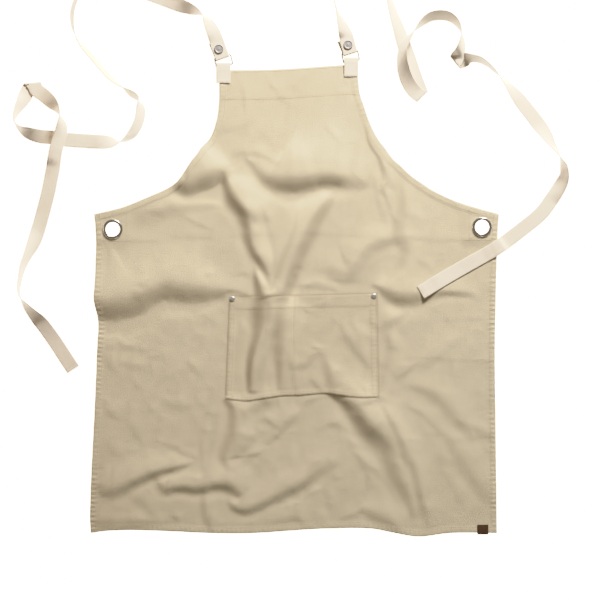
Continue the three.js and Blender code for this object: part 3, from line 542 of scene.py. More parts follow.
FOOT_EDGE = [(91, 533), (105, 531), (130, 530), (165, 531), (210, 533), (255, 533), (285, 531),
             (315, 529), (360, 528), (375, 529), (390, 532), (418, 536.5), (450, 533), (497, 533)]

# ---------------------------------------------------------------- tables: folds
# Each fold is the line of its shaded flank: (u, v, half width, height in mm). Its crest is on the left
# of the way the line runs (above a line that runs to the right, to the right of one that runs down).
FOLDS = [  # name, foot softness, crest softness, fade, dip, line
    ("armhole_left", 0.30, 0.45, 5.2, 0.30, [(180, 187, 5, 6.3), (187, 189, 6, 8.1), (198, 185, 7, 9), (210, 181, 7.5, 9), (220, 175.5, 6.5, 7.2), (227, 171, 4.5, 4.05), (233, 167, 3, 0.72)]),
    ("bib_left", 0.55, 0.35, 3.6, 0.15, [(223, 173, 2.32, 3.08), (226, 187, 3.87, 6.16), (233, 201, 4.64, 7.69), (242, 213, 4.64, 7.69), (246, 226, 3.87, 5.13), (248, 240, 3.48, 5.34), (253, 253, 3.1, 5.34), (260, 263, 3.1, 5.13), (265, 272, 2.32, 4.1), (270, 284, 1.16, 1.53)]),
    ("bib_across", 0.30, 0.45, 6.0, 0.25, [(246, 158, 1.84, 0.75), (252, 165, 2.76, 1.48), (259, 174, 3.68, 2.6), (268, 181, 5.06, 4.83), (281, 185, 6.44, 7.06), (295, 186, 6.9, 9.17), (308, 184, 6.44, 9.17), (320, 181.5, 5.98, 7.6), (335, 181.5, 5.52, 7.22), (350, 183, 5.06, 2.85), (359, 184.5, 3.86, 1.28), (367, 185, 2.76, 0.28)]),
    ("centre", 0.50, 0.45, 2.4, 0.15, [(280, 352, 3, 0.1), (281, 330, 3.4, 0.3), (283, 306, 4, 2.5), (287, 292, 4.5, 7), (292, 277, 5.5, 8), (298, 262, 5.8, 8.5), (304, 247, 6, 8.5), (311, 232, 6.5, 7.5), (319, 217, 5.5, 5.5), (329, 202, 4.5, 3), (334, 194, 3, 1)]),
    ("waist_left", 0.30, 0.40, 3.4, 0.25, [(92, 309, 8, 9), (108, 311, 9, 10.5), (125, 309, 9.5, 10.5), (140, 304, 9.5, 9.5), (152, 297, 7.65, 9.5), (165, 292, 7.65, 7.6), (180, 294, 7.65, 7.2), (195, 295.5, 7.2, 6.4), (210, 295, 5.4, 4.4), (225, 294, 3.6, 2.88), (240, 295, 2.25, 1.6), (249, 297, 1.35, 0.64)]),
    ("waist_right", 0.35, 0.45, 3.2, 0.20, [(375, 287, 2, 1.5), (383, 292, 3.5, 3.5), (392, 297, 4.8, 5), (402, 300, 5.2, 6), (413, 299.5, 5, 5), (425, 297, 4, 3.4), (437, 294, 3, 2.4), (447, 293.5, 2.2, 2.4), (458, 294, 2.2, 2.0), (472, 295.5, 1.8, 0.8)]),
    ("skirt_right", 0.45, 0.35, 3.4, 0.12, [(329, 394.5, 1.32, 1.38), (342, 400.5, 3.96, 5.52), (352, 409, 5.72, 8.28), (360, 420, 6.16, 9.66), (368, 431, 6.6, 9.66), (378, 440, 7.04, 6.48), (386, 449, 6.6, 5.04), (390, 462, 6.16, 3.96), (395, 476, 5.72, 3.96), (402, 489, 4.84, 3.6), (407, 500, 3.96, 2.74), (412, 514, 2.2, 1.08)]),
    ("foot_left", 0.45, 0.45, 4.0, 0.20, [(101, 489, 3.8, 2.3), (112, 493.5, 4.27, 3.68), (122, 490, 3.99, 4.23), (132, 484.5, 3.61, 4.6), (142, 479.5, 3.42, 5.06), (152, 475.5, 3.23, 5.06), (162, 472.2, 2.85, 4.6), (172, 470, 2.47, 3.86), (182, 467.5, 1.9, 2.76), (191, 463.5, 1.14, 0.92)]),
    ("foot_middle_a", 0.45, 0.45, 4.0, 0.20, [(156, 478, 1.84, 0.82), (160, 486, 3.22, 2.13), (166, 491, 3.31, 2.95), (175, 489, 2.94, 4.1), (185, 489, 3.22, 4.51), (195, 490.5, 3.4, 4.59), (207, 488.5, 3.31, 4.59), (218, 486.5, 3.31, 4.76), (227, 487.5, 3.68, 4.76), (234, 491.5, 3.68, 3.94), (239, 497, 2.3, 1.97), (241, 502, 1.38, 0.66)]),
    ("foot_middle_b", 0.45, 0.50, 4.0, 0.20, [(228, 499, 1.14, 0.68), (231, 506, 2.09, 2.04), (238, 510.5, 2.66, 3.06), (246, 511.5, 3.04, 3.57), (256, 508, 3.13, 3.57), (266, 503.5, 3.13, 3.57), (276, 498.5, 3.42, 3.57), (287, 493, 3.61, 3.74), (296, 489, 3.61, 4.08), (303, 485, 3.61, 3.91), (311, 478.5, 3.99, 3.06), (320, 471, 3.99, 2.38), (329, 467, 3.23, 1.53), (337, 464.5, 1.9, 0.59)]),
]
SMALL_FOLDS = [  # name, line; soft on both sides
    ("tongue", [(243, 211, 3, 1.5), (250, 215, 3, 1.8), (255, 220, 2, 0.8)]),
    ("bib_left_soft", [(222, 190, 5, 1.0), (229, 207, 6, 1.6), (239, 224, 6, 1.4), (245, 238, 4, 0.6)]),
    ("branch_bib", [(246, 160, 2, 1.0), (241, 168, 3, 1.6), (238, 177, 3, 1.5), (237, 187, 2, 0.7)]),
    ("bib_across_end", [(362, 188, 3, 1.2), (367, 183, 3.8, 2.8), (371, 175, 3.4, 2.6), (374, 167, 2.8, 1.8), (378, 159, 2, 0.6)]),
    ("arc_bib", [(234, 155.5, 1.8, 0.4), (243, 153.5, 2, 0.9), (254, 154, 2.2, 1.0), (264, 157, 2.2, 0.9), (276, 164, 2, 0.4)]),
    ("thin_bib_right", [(365, 127, 1, 0.4), (368, 140, 1.3, 1.6), (373, 150, 1.4, 1.8), (379, 158, 1.6, 2.0), (382, 167, 2.0, 2.8), (384, 177, 2.0, 2.8), (381, 187, 1.5, 1.0)]),
    ("thin_bib_right_2", [(381, 186, 1.3, 0.8), (385, 197, 1.3, 0.9), (390, 209, 1.3, 0.8), (394, 221, 1.2, 0.5)]),
    ("down_bib_right", [(374, 178, 2, 0.7), (376, 192, 2.2, 1.0), (379, 206, 2, 0.8), (386, 224, 2, 0.4)]),
    ("soft_right", [(402, 188, 3, 0.6), (402, 203, 4, 2.0), (400, 215, 5.5, 2.8), (397, 226, 5.5, 2.8), (398, 239, 4.5, 2.2), (399, 246, 3, 1)]),
    ("soft_right_2", [(402, 238, 4, 2.0), (404, 248, 4.3, 3.2), (402.5, 259, 4.5, 3.2), (398, 268, 4.3, 2.4), (390, 276, 3.2, 1.4), (385, 283, 2, 0.5)]),
    ("arc_right", [(320, 272, 3, 0.6), (330, 272, 4, 1.3), (341, 276, 4.5, 2.0), (350, 276, 4.5, 2.4), (356, 271, 4.5, 3.0), (361, 263, 5, 3.6), (367, 255, 5.2, 3.8), (376, 248, 5, 3.8), (386, 243, 4.2, 3.0), (396, 241, 3, 1.5)]),
    ("inner_right", [(366, 280, 3, 0.8), (369, 270, 3.5, 1.2), (376, 262, 3.5, 1.0), (384, 258, 2.5, 0.4)]),
    ("above_mouth", [(298, 286, 1.2, 0.5), (310, 287.3, 1.4, 0.9), (322, 288.2, 1.4, 0.8), (336, 291, 1.2, 0.4)]),
    ("above_mouth_2", [(330, 279, 1.5, 0.4), (345, 282, 1.8, 1.0), (356, 281, 1.8, 0.8)]),
    ("centre_thin", [(272, 287, 2, 0.8), (278, 273, 2.6, 1.8), (283, 258, 2.8, 2.0), (289, 244, 2.6, 1.7), (294, 230, 2.2, 1.2), (297, 214, 1.6, 0.4)]),
    ("centre_faint", [(260, 206, 1.6, 0.4), (266, 219, 2.0, 0.9), (270, 233, 2.2, 1.0), (274, 250, 2.0, 0.6), (275, 262, 1.6, 0.2)]),
    ("centre_low", [(284, 294, 4, 1.0), (281.5, 306, 5, 4.0), (279.5, 322, 5.2, 5.0), (278.5, 340, 5.2, 5.0), (279, 356, 4.2, 4.2), (279, 371, 3, 2.8), (279, 386, 2, 1.0)]),
    ("mouth_left", [(254.5, 270, 1.4, 1.0), (256, 280, 2.4, 3.6), (258, 288, 3.2, 4.6), (261, 296, 4, 4.2), (262, 300, 4, 2)]),
    ("pocket_left", [(258, 297, 5, 2.4), (258, 309, 6, 4.4), (259, 321, 5.5, 4.6), (256.5, 335, 4, 5.0), (253, 348, 3.6, 5.0), (250.3, 362, 3, 4.8), (249, 375, 2.6, 3.6), (249, 389, 2, 1.6)]),
    ("pocket_left_2", [(268, 300, 3, 0.8), (268, 312, 3.5, 1.6), (266, 325, 3, 1.2), (262, 335, 2, 0.5)]),
    ("pocket_soft", [(277, 336, 2, 0.8), (273, 345, 3, 1.8), (268, 353, 3, 1.8), (263, 362, 3.2, 1.6), (260, 376, 3, 1.2), (262, 390, 2, 0.5)]),
    ("pocket_mid", [(288, 357, 1.5, 0.5), (291, 368, 2.2, 1.3), (293, 380, 2.2, 1.2), (297, 393, 1.8, 0.6)]),
    ("pocket_right", [(340, 326, 2, 0.7), (345, 337, 3.2, 2.0), (351, 345, 3.6, 2.6), (358, 354, 3.2, 2.2), (367, 367, 1.6, 0.6)]),
    ("pocket_right_2", [(351, 322, 1.5, 0.3), (356, 333, 2, 0.8), (361, 344, 2, 0.4)]),
    ("peak_a", [(296, 368, 2, 0.7), (306, 365, 2.8, 1.8), (312, 358, 2.8, 1.6), (319, 353, 2.4, 1.0)]),
    ("peak_b", [(320, 352.5, 2, 0.8), (325, 361, 2.6, 1.6), (327.5, 373, 2.8, 2.2), (330, 386, 3.2, 2.8), (334, 393, 3, 1.5)]),
    ("peak_c", [(331, 383, 3.5, 1.4), (341, 387, 4.5, 2.6), (352, 393, 3.5, 1.6), (360, 396, 2, 0.5)]),
    ("peak_d", [(311, 381, 1.5, 0.6), (318, 388, 2, 1.2), (324, 393, 1.6, 0.5)]),
    ("beside_pocket", [(388, 336, 2.5, 0.8), (389, 349, 3.6, 2.2), (387, 361, 4.2, 3.0), (383, 373, 3.8, 2.8), (381, 386, 3.2, 2.2), (379.5, 398, 2.4, 1.2)]),
    ("beside_pocket_2", [(380, 328, 2.4, 0.8), (390, 324, 3, 2.0), (399, 319.5, 2.6, 1.6), (407, 312, 1.6, 0.6)]),
    ("beside_pocket_3", [(384, 316, 3, 0.7), (386, 330, 4.5, 1.3), (388, 345, 4, 0.7)]),
    ("under_corner", [(364, 404, 1.6, 0.8), (371, 402, 2.2, 1.6), (380, 398.5, 1.6, 0.9)]),
    ("right_diag", [(399, 378, 1.6, 0.6), (406, 373, 2.2, 1.3), (415, 366.5, 2, 1.0), (421, 360, 1.4, 0.3)]),
    ("right_rise", [(424, 367, 2.5, 0.6), (436, 360, 3, 1.1), (450, 348, 3, 1.0), (460, 339, 2.5, 0.3)]),
    ("skirt_right_2", [(383, 408, 1.6, 0.7), (389, 419, 2.0, 1.3), (396, 432, 2.4, 1.8), (402, 446, 3.0, 2.8), (406, 457, 3.6, 3.4), (412, 467, 3.2, 3.0), (416, 479, 3.0, 3.0), (419, 494, 3.0, 2.6), (423, 510, 3.2, 2.0), (427, 524, 2.6, 0.9)]),
    ("skirt_left_of", [(352, 452, 1.6, 0.6), (362, 461, 2.0, 1.2), (372, 470, 2.2, 1.4), (382, 479, 2.0, 1.2), (393, 494, 1.8, 1.0), (402, 511, 1.4, 0.4)]),
    ("skirt_left_of_2", [(358, 458, 1.5, 0.5), (366, 474, 2.2, 1.0), (371, 486, 2, 0.5)]),
    ("below_main", [(376, 452, 3, 0.8), (384, 466, 4, 1.5), (391, 480, 4, 1.2), (399, 494, 3, 0.5)]),
    ("under_pocket_a", [(248, 415, 2.8, 1.4), (257, 409, 4.2, 3.0), (266, 404, 4.4, 3.2), (275, 400, 3.2, 1.6)]),
    ("under_pocket_b", [(260, 419, 1.4, 0.5), (269, 422, 1.8, 1.3), (279, 430, 1.5, 0.6)]),
    ("under_pocket_c", [(269, 443, 1.4, 0.6), (279, 435, 2.2, 1.8), (287, 426, 2.6, 2.4), (295, 418, 2.6, 2.2), (302, 410, 1.6, 0.8)]),
    ("under_pocket_d", [(240, 453, 2, 0.8), (247, 446, 3.4, 2.2), (253, 440, 3.4, 2.2), (260, 432, 2.2, 1.0)]),
    ("under_pocket_e", [(245, 457, 1.2, 0.5), (254, 455, 1.5, 1.2), (263, 451, 1.2, 0.4)]),
    ("under_pocket_f", [(302, 406, 1.5, 0.5), (311, 401, 2.0, 1.1), (323, 397.5, 1.6, 0.5)]),
    ("under_pocket_g", [(238, 405, 1.5, 0.5), (243, 414, 2, 1.0), (243, 424, 1.8, 0.5)]),
    ("skirt_mid_a", [(320, 430, 2.2, 0.5), (334, 425, 2.6, 0.9), (346, 430, 2.2, 0.5)]),
    ("skirt_mid_b", [(238, 470, 2, 0.6), (245, 462, 2.6, 1.2), (255, 458, 2.2, 0.8), (268, 462, 1.8, 0.3)]),
    ("skirt_mid_c", [(236, 485, 2, 0.5), (240, 474, 2.8, 1.2), (247, 462, 2.2, 0.5)]),
    ("skirt_middle", [(226, 401, 2.0, 2.0), (231, 408, 3.0, 3.4), (232, 416, 4.0, 4.0), (231.5, 427, 4.5, 4.0), (229, 438, 4.8, 3.4), (225, 449, 4.4, 2.8), (223, 459, 3.2, 1.8), (227, 468, 2, 0.6)]),
    ("skirt_stripe_a", [(217, 412, 2.4, 0.5), (214, 432, 3, 1.1), (211, 452, 3, 1.2), (206, 474, 2.2, 0.5)]),
    ("skirt_stripe_b", [(203, 430, 2.0, 0.4), (201, 447, 2.4, 1.0), (202, 463, 2.4, 1.0), (205, 480, 2, 0.4)]),
    ("foot_left_3", [(203, 492, 2.2, 1.2), (203, 504, 2.8, 2.4), (204.5, 515, 2.8, 2.4), (208, 524, 2.4, 1.8), (212, 533, 2, 1.0)]),
    ("foot_left_4", [(133, 498, 2.4, 0.5), (143, 505, 3.2, 1.4), (152, 514, 3.0, 1.0), (160, 522, 2.2, 0.3)]),
    ("foot_left_5", [(102, 500, 2.0, 0.5), (114, 507, 2.6, 1.0), (126, 511, 2.0, 0.4)]),
    ("hem_right", [(362, 511, 2.4, 1.2), (372, 516, 4, 3.0), (383, 520.5, 4.4, 4.0), (392, 526, 4, 3.4), (398, 533, 2.6, 1.6)]),
    ("hem_right_2", [(343, 519, 1.6, 0.5), (353, 515.5, 2.0, 1.2), (363, 511, 1.6, 0.5)]),
    ("hem_left", [(99, 524, 3, 2.2), (114, 525.5, 3.4, 3.2), (130, 524.5, 3.2, 3.2), (146, 524, 3.0, 2.8), (158, 524, 2.2, 1.4), (168, 523, 1.6, 0.4)]),
    ("hem_middle", [(270, 524, 2, 0.5), (283, 521, 3, 1.6), (296, 519, 3, 1.8), (304, 525, 2, 0.6)]),
    ("side_right", [(406, 387, 2.2, 0.7), (419, 390, 3.2, 2.0), (432, 396, 3.8, 2.8), (442, 404, 4.2, 3.2), (450, 413, 4.6, 3.4), (457, 422, 4.6, 3.8), (466, 428, 3.4, 2.8), (477, 430, 2.6, 1.8), (490, 437, 2.2, 1.6)]),
    ("side_right_2", [(407, 407, 1.5, 0.4), (419, 413, 1.8, 1.0), (431, 424, 1.8, 1.0), (441, 433, 1.5, 0.4)]),
    ("side_right_3", [(462, 432, 2, 0.6), (472, 438, 2.6, 1.2), (484, 437, 2, 0.6)]),
    ("foot_right", [(445, 436, 3, 0.8), (453, 449, 4.2, 2.2), (460, 461, 5.0, 3.4), (467, 471.5, 5.0, 3.6), (474, 482, 5.0, 3.6), (481, 492, 4.2, 2.8), (490, 503, 3.0, 1.2)]),
    ("foot_right_2", [(440, 470, 2.5, 0.3), (452, 488, 3, 0.9), (463, 508, 2.5, 0.4)]),
    ("armhole_low", [(132, 222, 4.5, 1.0), (146, 219, 5.5, 2.4), (160, 215, 5.5, 3.0), (172, 211, 5.0, 3.4), (185, 207.5, 4.2, 3.2), (200, 206.5, 3.2, 2.0), (216, 207, 2.0, 0.6)]),
    ("armhole_low_2", [(94, 214, 3, 0.3), (150, 212.5, 2.5, 0.5), (158, 213.5, 2.2, 1.0), (163, 217, 1.6, 0.4)]),
    ("left_crease_a", [(182, 215, 1.0, 0.3), (194, 223, 1.3, 0.8), (204, 227, 1.3, 0.8), (214, 230, 1.0, 0.3)]),
    ("left_crease_b", [(153, 439, 1.2, 0.3), (168, 446, 1.6, 0.9), (182, 453, 1.6, 0.9), (194, 458, 1.2, 0.3)]),
    ("left_spot_a", [(104, 408, 2, 0.4), (111, 415, 3, 1.6), (119, 420, 2, 0.5)]),
    ("left_spot_b", [(103, 357, 2, 0.4), (110, 367, 3, 1.2), (118, 374, 2, 0.4)]),
    ("left_spot_c", [(164, 402, 2.5, 0.4), (177, 408, 3.5, 1.2), (190, 407, 2.5, 0.5)]),
    ("left_spot_d", [(105, 444, 2, 0.3), (113, 453, 3, 1.0), (123, 460, 2, 0.3)]),
    ("left_spot_e", [(186, 361, 1.4, 0.4), (193, 369, 1.8, 1.1), (199, 376, 1.4, 0.4)]),
    ("left_spot_f", [(122, 364, 2, 0.4), (134, 368, 3, 1.1), (145, 366, 2, 0.3)]),
    ("left_diag", [(124, 418, 2, 0.3), (134, 432, 3, 1.0), (143, 446, 2, 0.3)]),
    ("left_press", [(96, 350, 1.2, 0.4), (112, 349, 1.4, 0.8), (140, 350.5, 1.4, 0.7), (168, 352, 1.2, 0.3)]),
    ("right_press", [(398, 359, 1.2, 0.3), (425, 358.5, 1.5, 0.7), (455, 360.5, 1.5, 0.8), (492, 362, 1.4, 0.6)]),
    ("right_press_2", [(424, 435, 1.0, 0.3), (436, 435, 1.2, 0.7), (447, 435.5, 1.0, 0.3)]),
    ("waist_press_a", [(100, 242, 1.2, 0.5), (128, 241.5, 1.3, 1.0), (145, 242, 1.3, 0.8), (158, 242.5, 1.2, 0.2)]),
    ("waist_press_b", [(178, 238, 1.4, 0.4), (190, 237.5, 1.8, 1.0), (212, 238.5, 1.2, 0.3)]),
    ("waist_press_c", [(232, 236.5, 1.0, 0.3), (256, 235.5, 1.2, 0.7), (280, 236, 1.0, 0.2)]),
    ("waist_press_d", [(302, 234.5, 1.0, 0.4), (314, 234, 1.3, 0.9), (330, 235, 1.2, 0.4), (380, 237, 1.0, 0.3)]),
    ("waist_press_e", [(400, 237, 1.2, 0.3), (440, 241, 2.0, 0.7), (462, 240, 2.0, 0.7), (480, 243, 1.5, 0.2)]),
    ("bib_crease_a", [(235, 72, 1.5, 0.4), (239, 84, 1.8, 1.0), (243, 96, 1.8, 1.0), (245, 113, 1.5, 0.3)]),
    ("bib_crease_b", [(292, 152, 1.2, 0.2), (288, 138, 1.5, 0.8), (286, 124, 1.5, 1.0), (288, 109, 1.6, 1.0), (292, 95, 2.0, 1.0), (299, 82, 2.2, 0.9), (312, 73, 1.8, 0.4)]),
    ("bib_crease_c", [(338, 68, 2.6, 0.3), (338, 82, 3.2, 0.8), (337, 98, 2.6, 0.3)]),
    ("bib_crease_d", [(212, 135, 2, 0.4), (230, 130, 2.4, 0.8), (246, 125, 2.2, 0.7), (256, 122, 1.8, 0.2)]),
    ("bib_crease_e", [(270, 84, 1.6, 0.3), (277, 94, 1.8, 0.7), (282, 106, 1.6, 0.3)]),
    ("bib_crease_f", [(256, 128, 2.4, 0.2), (268, 140, 3.2, 0.7), (274, 152, 2.6, 0.2)]),
]
FLATS = [  # name, u, v, half u, half v, z mm, blend
    ("tab_left", 223.5, 74, 13, 16, 1.6, 12), ("tab_right", 351.5, 69, 13, 16, 1.6, 12),
    ("eyelet_left", 112.5, 226, 12, 13, 3.1, 13), ("eyelet_right", 482, 224, 12, 13, 3.1, 13),
    ("rivet_left", 232.4, 298.9, 3.2, 3.2, 1.9, 7), ("rivet_right", 373.8, 296.2, 3.2, 3.2, 1.9, 7),
    ("label", 482.6, 530, 8, 12, 1.2, 12), ("rest_face", 290, 116, 2, 2, 0.4, 44),
]
RISE = 0.95
STRENGTH = {"pocket_left": 1.6, "centre_low": 1.1, "skirt_middle": 1.1, "arc_right": 0.95, "mouth_left": 1.4, "foot_right": 0.6,
            "side_right": 0.6, "side_right_3": 0.5, "left_press": 0.25, "hem_left": 0.6, "hem_right": 0.8, "thin_bib_right": 0.8,
            "skirt_left_of": 0.45, "below_main": 0.5, "soft_right": 0.8, "bib_across_end": 0.55, "under_pocket_a": 0.85, "centre_thin": 0.9}
# how strongly each fold's core is darkened in the cloth's colour as painted shade; folds not listed get 0.05 (large) or
# 0.03 (small)
PAINTED_FOLD_SHADE = {"centre": 0.24, "centre_low": 0.17, "pocket_left": 0.30, "skirt_middle": 0.18, "centre_thin": 0.12, "mouth_left": 0.26, "soft_right": 0.12,
          "soft_right_2": 0.08, "arc_right": 0.07, "pocket_left_2": 0.10, "beside_pocket": 0.08, "bib_left": 0.25, "skirt_right_2": 0.09,
          "pocket_soft": 0.08, "foot_left_3": 0.10, "waist_left": 0.14, "armhole_left": 0.15, "bib_across": 0.12, "skirt_right": 0.18,
          "foot_left": 0.12, "foot_middle_a": 0.10, "foot_middle_b": 0.08}


def line_distance(u, v, line):
    """Distance to a line of points, its side, the overrun past its ends and the run along it."""
    u, v = np.asarray(u, float), np.asarray(v, float)
    best = np.full(u.shape, 1e9)
    side = np.zeros(u.shape)
    beyond = np.zeros(u.shape)
    along = np.zeros(u.shape)
    total = 0.0
    last = len(line) - 2
    for i in range(len(line) - 1):
        x0, y0, x1, y1 = line[i][0], line[i][1], line[i + 1][0], line[i + 1][1]
        dx, dy = x1 - x0, y1 - y0
        ln = math.hypot(dx, dy)
        if ln < 1e-9:
            continue
        t = ((u - x0) * dx + (v - y0) * dy) / (ln * ln)
        tc = np.clip(t, 0, 1)
        qx, qy = u - x0 - tc * dx, v - y0 - tc * dy
        d = np.hypot(qx, qy)
        pick = d < best
        sd = (qx * dy - qy * dx) / ln
        over = np.zeros(u.shape)
        if i == 0:
            over = np.where(t < 0, -t * ln, over)
        if i == last:
            over = np.where(t > 1, (t - 1) * ln, over)
        best = np.where(pick, d, best)
        side = np.where(pick, sd, side)
        beyond = np.where(pick, over, beyond)
        along = np.where(pick, total + tc * ln, along)
        total += ln
    return best, side, beyond, along


def ramp(t, foot, crest):
    """0 to 1 over 0..1, straight in the middle and rounded at both ends."""
    low = (t + foot) ** 2 / (4 * foot)
    high = 1 - (1 - t + crest) ** 2 / (4 * crest)
    r = np.where(t < foot, low, np.where(t > 1 - crest, high, t))
    return np.where(t < -foot, 0.0, np.where(t > 1 + crest, 1.0, r))


SMOOTHED = {}


def band(u, v, name, line, foot=0.5, crest=0.5, fade=2.2, dip=0.12):
    """Height that one fold adds, mm, and the weight of the painted shade in its core."""
    if name not in SMOOTHED:
        SMOOTHED[name] = spline_points(line, 6)
    c = SMOOTHED[name]
    reach = c[:, 2].max() * (1 + 1.9 * fade) + 8
    near = (u > c[:, 0].min() - reach) & (u < c[:, 0].max() + reach) & (v > c[:, 1].min() - reach) & (v < c[:, 1].max() + reach)
    out, shade = np.zeros(np.shape(u)), np.zeros(np.shape(u))
    if not np.any(near):
        return out, shade
    best, side, beyond, along = line_distance(u[near], v[near], c)
    run = np.concatenate([[0], np.cumsum(np.hypot(*(c[1:, :2] - c[:-1, :2]).T))])
    w, h = np.interp(along, run, c[:, 2]), np.interp(along, run, c[:, 3])
    signed = np.where(side >= 0, 1, -1) * np.where(beyond > 0, np.abs(side), best)
    r = ramp((signed + w) / (2 * w), foot, crest)
    fall = np.exp(-(np.maximum(signed - w, 0) / (fade * w + 3)) ** 2)
    low = dip * np.exp(-((signed + 1.7 * w) / (0.9 * w + 1.2)) ** 2)
    end = np.exp(-(beyond / (w + 1.5)) ** 2)
    out[near] = h * (r * fall - low) * end
    # painted shade: strongest along the fold's line, scaled by its height
    shade[near] = np.exp(-(np.abs(signed) / (w + 0.3)) ** 3) * end * np.minimum(1, h / (0.55 * c[:, 3].max()))
    return out, shade


def lattice(u, v, cell, seed):
    """Smooth noise between -1 and 1, from random slopes on a turned lattice."""
    rng = np.random.default_rng(seed)
    n = 64
    gx, gy = rng.normal(size=(n, n)), rng.normal(size=(n, n))
    a = 0.5 + 0.37 * seed
    x = (np.asarray(u) * math.cos(a) - np.asarray(v) * math.sin(a)) / cell
    y = (np.asarray(u) * math.sin(a) + np.asarray(v) * math.cos(a)) / cell
    i, j = np.floor(x).astype(int), np.floor(y).astype(int)
    fx, fy = x - i, y - j
    sx, sy = fx**3 * (fx * (6 * fx - 15) + 10), fy**3 * (fy * (6 * fy - 15) + 10)
    def corner(di, dj):
        p, q = (i + di) % n, (j + dj) % n
        return gx[p, q] * (fx - di) + gy[p, q] * (fy - dj)
    return (corner(0, 0) * (1 - sx) + corner(1, 0) * sx) * (1 - sy) + (corner(0, 1) * (1 - sx) + corner(1, 1) * sx) * sy


def value_noise(u, v, cell, seed):
    return np.clip(lattice(u, v, cell, seed) * 0.9, -1, 1)


def crumple_lines(count=230, seed=5):
    """Short random creases, closer together low on the skirt."""
    rng = np.random.default_rng(seed)
    out = []
    while len(out) < count:
        u, v = rng.uniform(96, 496), rng.uniform(75, 528)
        keep = 0.25 + 0.75 * min(1, max(0, (v - 190) / 140)) * (1.0 if u < 340 else 0.55)
        if rng.uniform() > keep:
            continue
        a = rng.normal(0.5, 0.9)
        ln = rng.uniform(5, 20)
        bend = rng.normal(0, 0.25) * ln
        w = rng.uniform(0.9, 2.4)
        h = rng.uniform(0.18, 0.62) * (0.6 + 0.4 * min(1, max(0, (v - 150) / 150)))
        dx, dy = math.cos(a) * ln / 2, math.sin(a) * ln / 2
        out.append([(u - dx, v - dy, w * 0.7, h * 0.2), (u - dy / ln * bend * 2, v + dx / ln * bend * 2, w, h), (u + dx, v + dy, w * 0.7, h * 0.2)])
    return out


CRUMPLES = crumple_lines()


POCKET_TOP = [(229, 297), (265, 296.3), (300, 295.5), (340, 294.6), (376.5, 293.5)]
POCKET_FOOT = [(225, 399.5), (236, 400.8), (247, 401.5), (265, 399), (283, 396.5), (300, 396), (325, 394), (340, 396), (360, 398), (378.5, 397.5)]
POCKET_LEFT_LINE = [(229, 297), (227, 348), (225, 399.5)]
POCKET_RIGHT_LINE = [(376.5, 293.5), (377.6, 345), (378.5, 397.5)]
GRID = 0.5
GU, GV = np.arange(80.0, 512.0, GRID), np.arange(54.0, 548.0, GRID)


def soften(z, sigma):
    """Blur of a raster, sigma in view units."""
    reach = max(1, int(3 * sigma / GRID))
    k = np.exp(-((np.arange(-reach, reach + 1) * GRID / sigma) ** 2) / 2)
    k /= k.sum()
    for axis in (0, 1):
        pad = [(0, 0), (0, 0)]
        pad[axis] = (reach, reach)
        q = np.pad(z, pad, mode="edge")
        out = np.zeros_like(z)
        for i, w in enumerate(k):
            out += w * (q[i:i + z.shape[0]] if axis == 0 else q[:, i:i + z.shape[1]])
        z = out
    return z


def lookup(raster, u, v):
    x = np.clip((np.asarray(u, float) - GU[0]) / GRID, 0, len(GU) - 1.001)
    y = np.clip((np.asarray(v, float) - GV[0]) / GRID, 0, len(GV) - 1.001)
    i, j = x.astype(int), y.astype(int)
    fx, fy = x - i, y - j
    return ((raster[j, i] * (1 - fx) + raster[j, i + 1] * fx) * (1 - fy)
            + (raster[j + 1, i] * (1 - fx) + raster[j + 1, i + 1] * fx) * fy)


def build_height():
    u, v = np.meshgrid(GU, GV)
    # dark holds painted shade: fold cores, the pocket's edges and the bottom-left corner are darkened in the cloth's
    # colour
    z, dark = np.zeros(u.shape), np.zeros(u.shape)
    for name, foot, crest, fade, dip, line in FOLDS:
        h, shade = band(u, v, name, line, foot, crest, fade, dip)
        z = np.where((z > 0) & (h > 0), np.maximum(z, h) + 0.45 * np.minimum(z, h), z + h)
        dark = np.maximum(dark, shade * PAINTED_FOLD_SHADE.get(name, 0.05))
    z = soften(z, 0.95)
    for name, line in SMALL_FOLDS:
        h, shade = band(u, v, name, line, fade=2.6, dip=0.08)
        z = z + h * STRENGTH.get(name, 0.42 if "press" in name or "crease" in name else 0.72)
        dark = np.maximum(dark, shade * PAINTED_FOLD_SHADE.get(name, 0.03))
    z = z * RISE
    for k, line in enumerate(CRUMPLES):
        z = z + band(u, v, f"crumple_{k}", line, 0.6, 0.6, 1.6, 0.1)[0]
    z = z + 1.5 + 0.5 * value_noise(u, v, 64, 11) + 0.4 * value_noise(u, v, 33, 12)
    low = smooth((v - 170) / 150)
    z = z + low * (0.24 * value_noise(u, v, 15, 13) + 0.10 * value_noise(u, v, 8, 14))
    z = np.where(z < 0.6, 0.6 * np.exp(np.clip((z - 0.6) / 0.6, -8, 0)), z)
    for name, fu, fv, hu, hv, fz, blend in FLATS:
        du = np.maximum(0, np.abs(u - fu) - hu)
        dv = np.maximum(0, np.abs(v - fv) - hv)
        w = 1 - smooth(np.hypot(du, dv) / blend)
        z = z * (1 - w) + fz * w
    dark = soften(dark, 0.6)
    # painted shade: the bottom-left corner darker
    dark = np.maximum(dark, 0.15 * np.exp(-(((u - 92) / 62) ** 2 + ((v - 528) / 58) ** 2)))
    # painted shadow along the pocket's edges, strongest along its mouth and right side
    painted_shadow_lines = [POCKET_LEFT_LINE, POCKET_RIGHT_LINE, POCKET_TOP, POCKET_FOOT]
    for line, strength in zip(painted_shadow_lines, (0.16, 0.34, 0.42, 0.05)):
        d = line_distance(u, v, line)[0]
        dark = np.maximum(dark, strength * np.exp(-(d / 0.9) ** 2))
    return soften(z, 0.4), dark


RASTERS = []


def rasters():
    if not RASTERS:
        RASTERS.extend(build_height())
    return RASTERS


def cloth_z(u, v):
    """Height of the panel's underside, mm."""
    return lookup(rasters()[0], u, v)


def crease_shade(u, v):
    return lookup(rasters()[1], u, v)


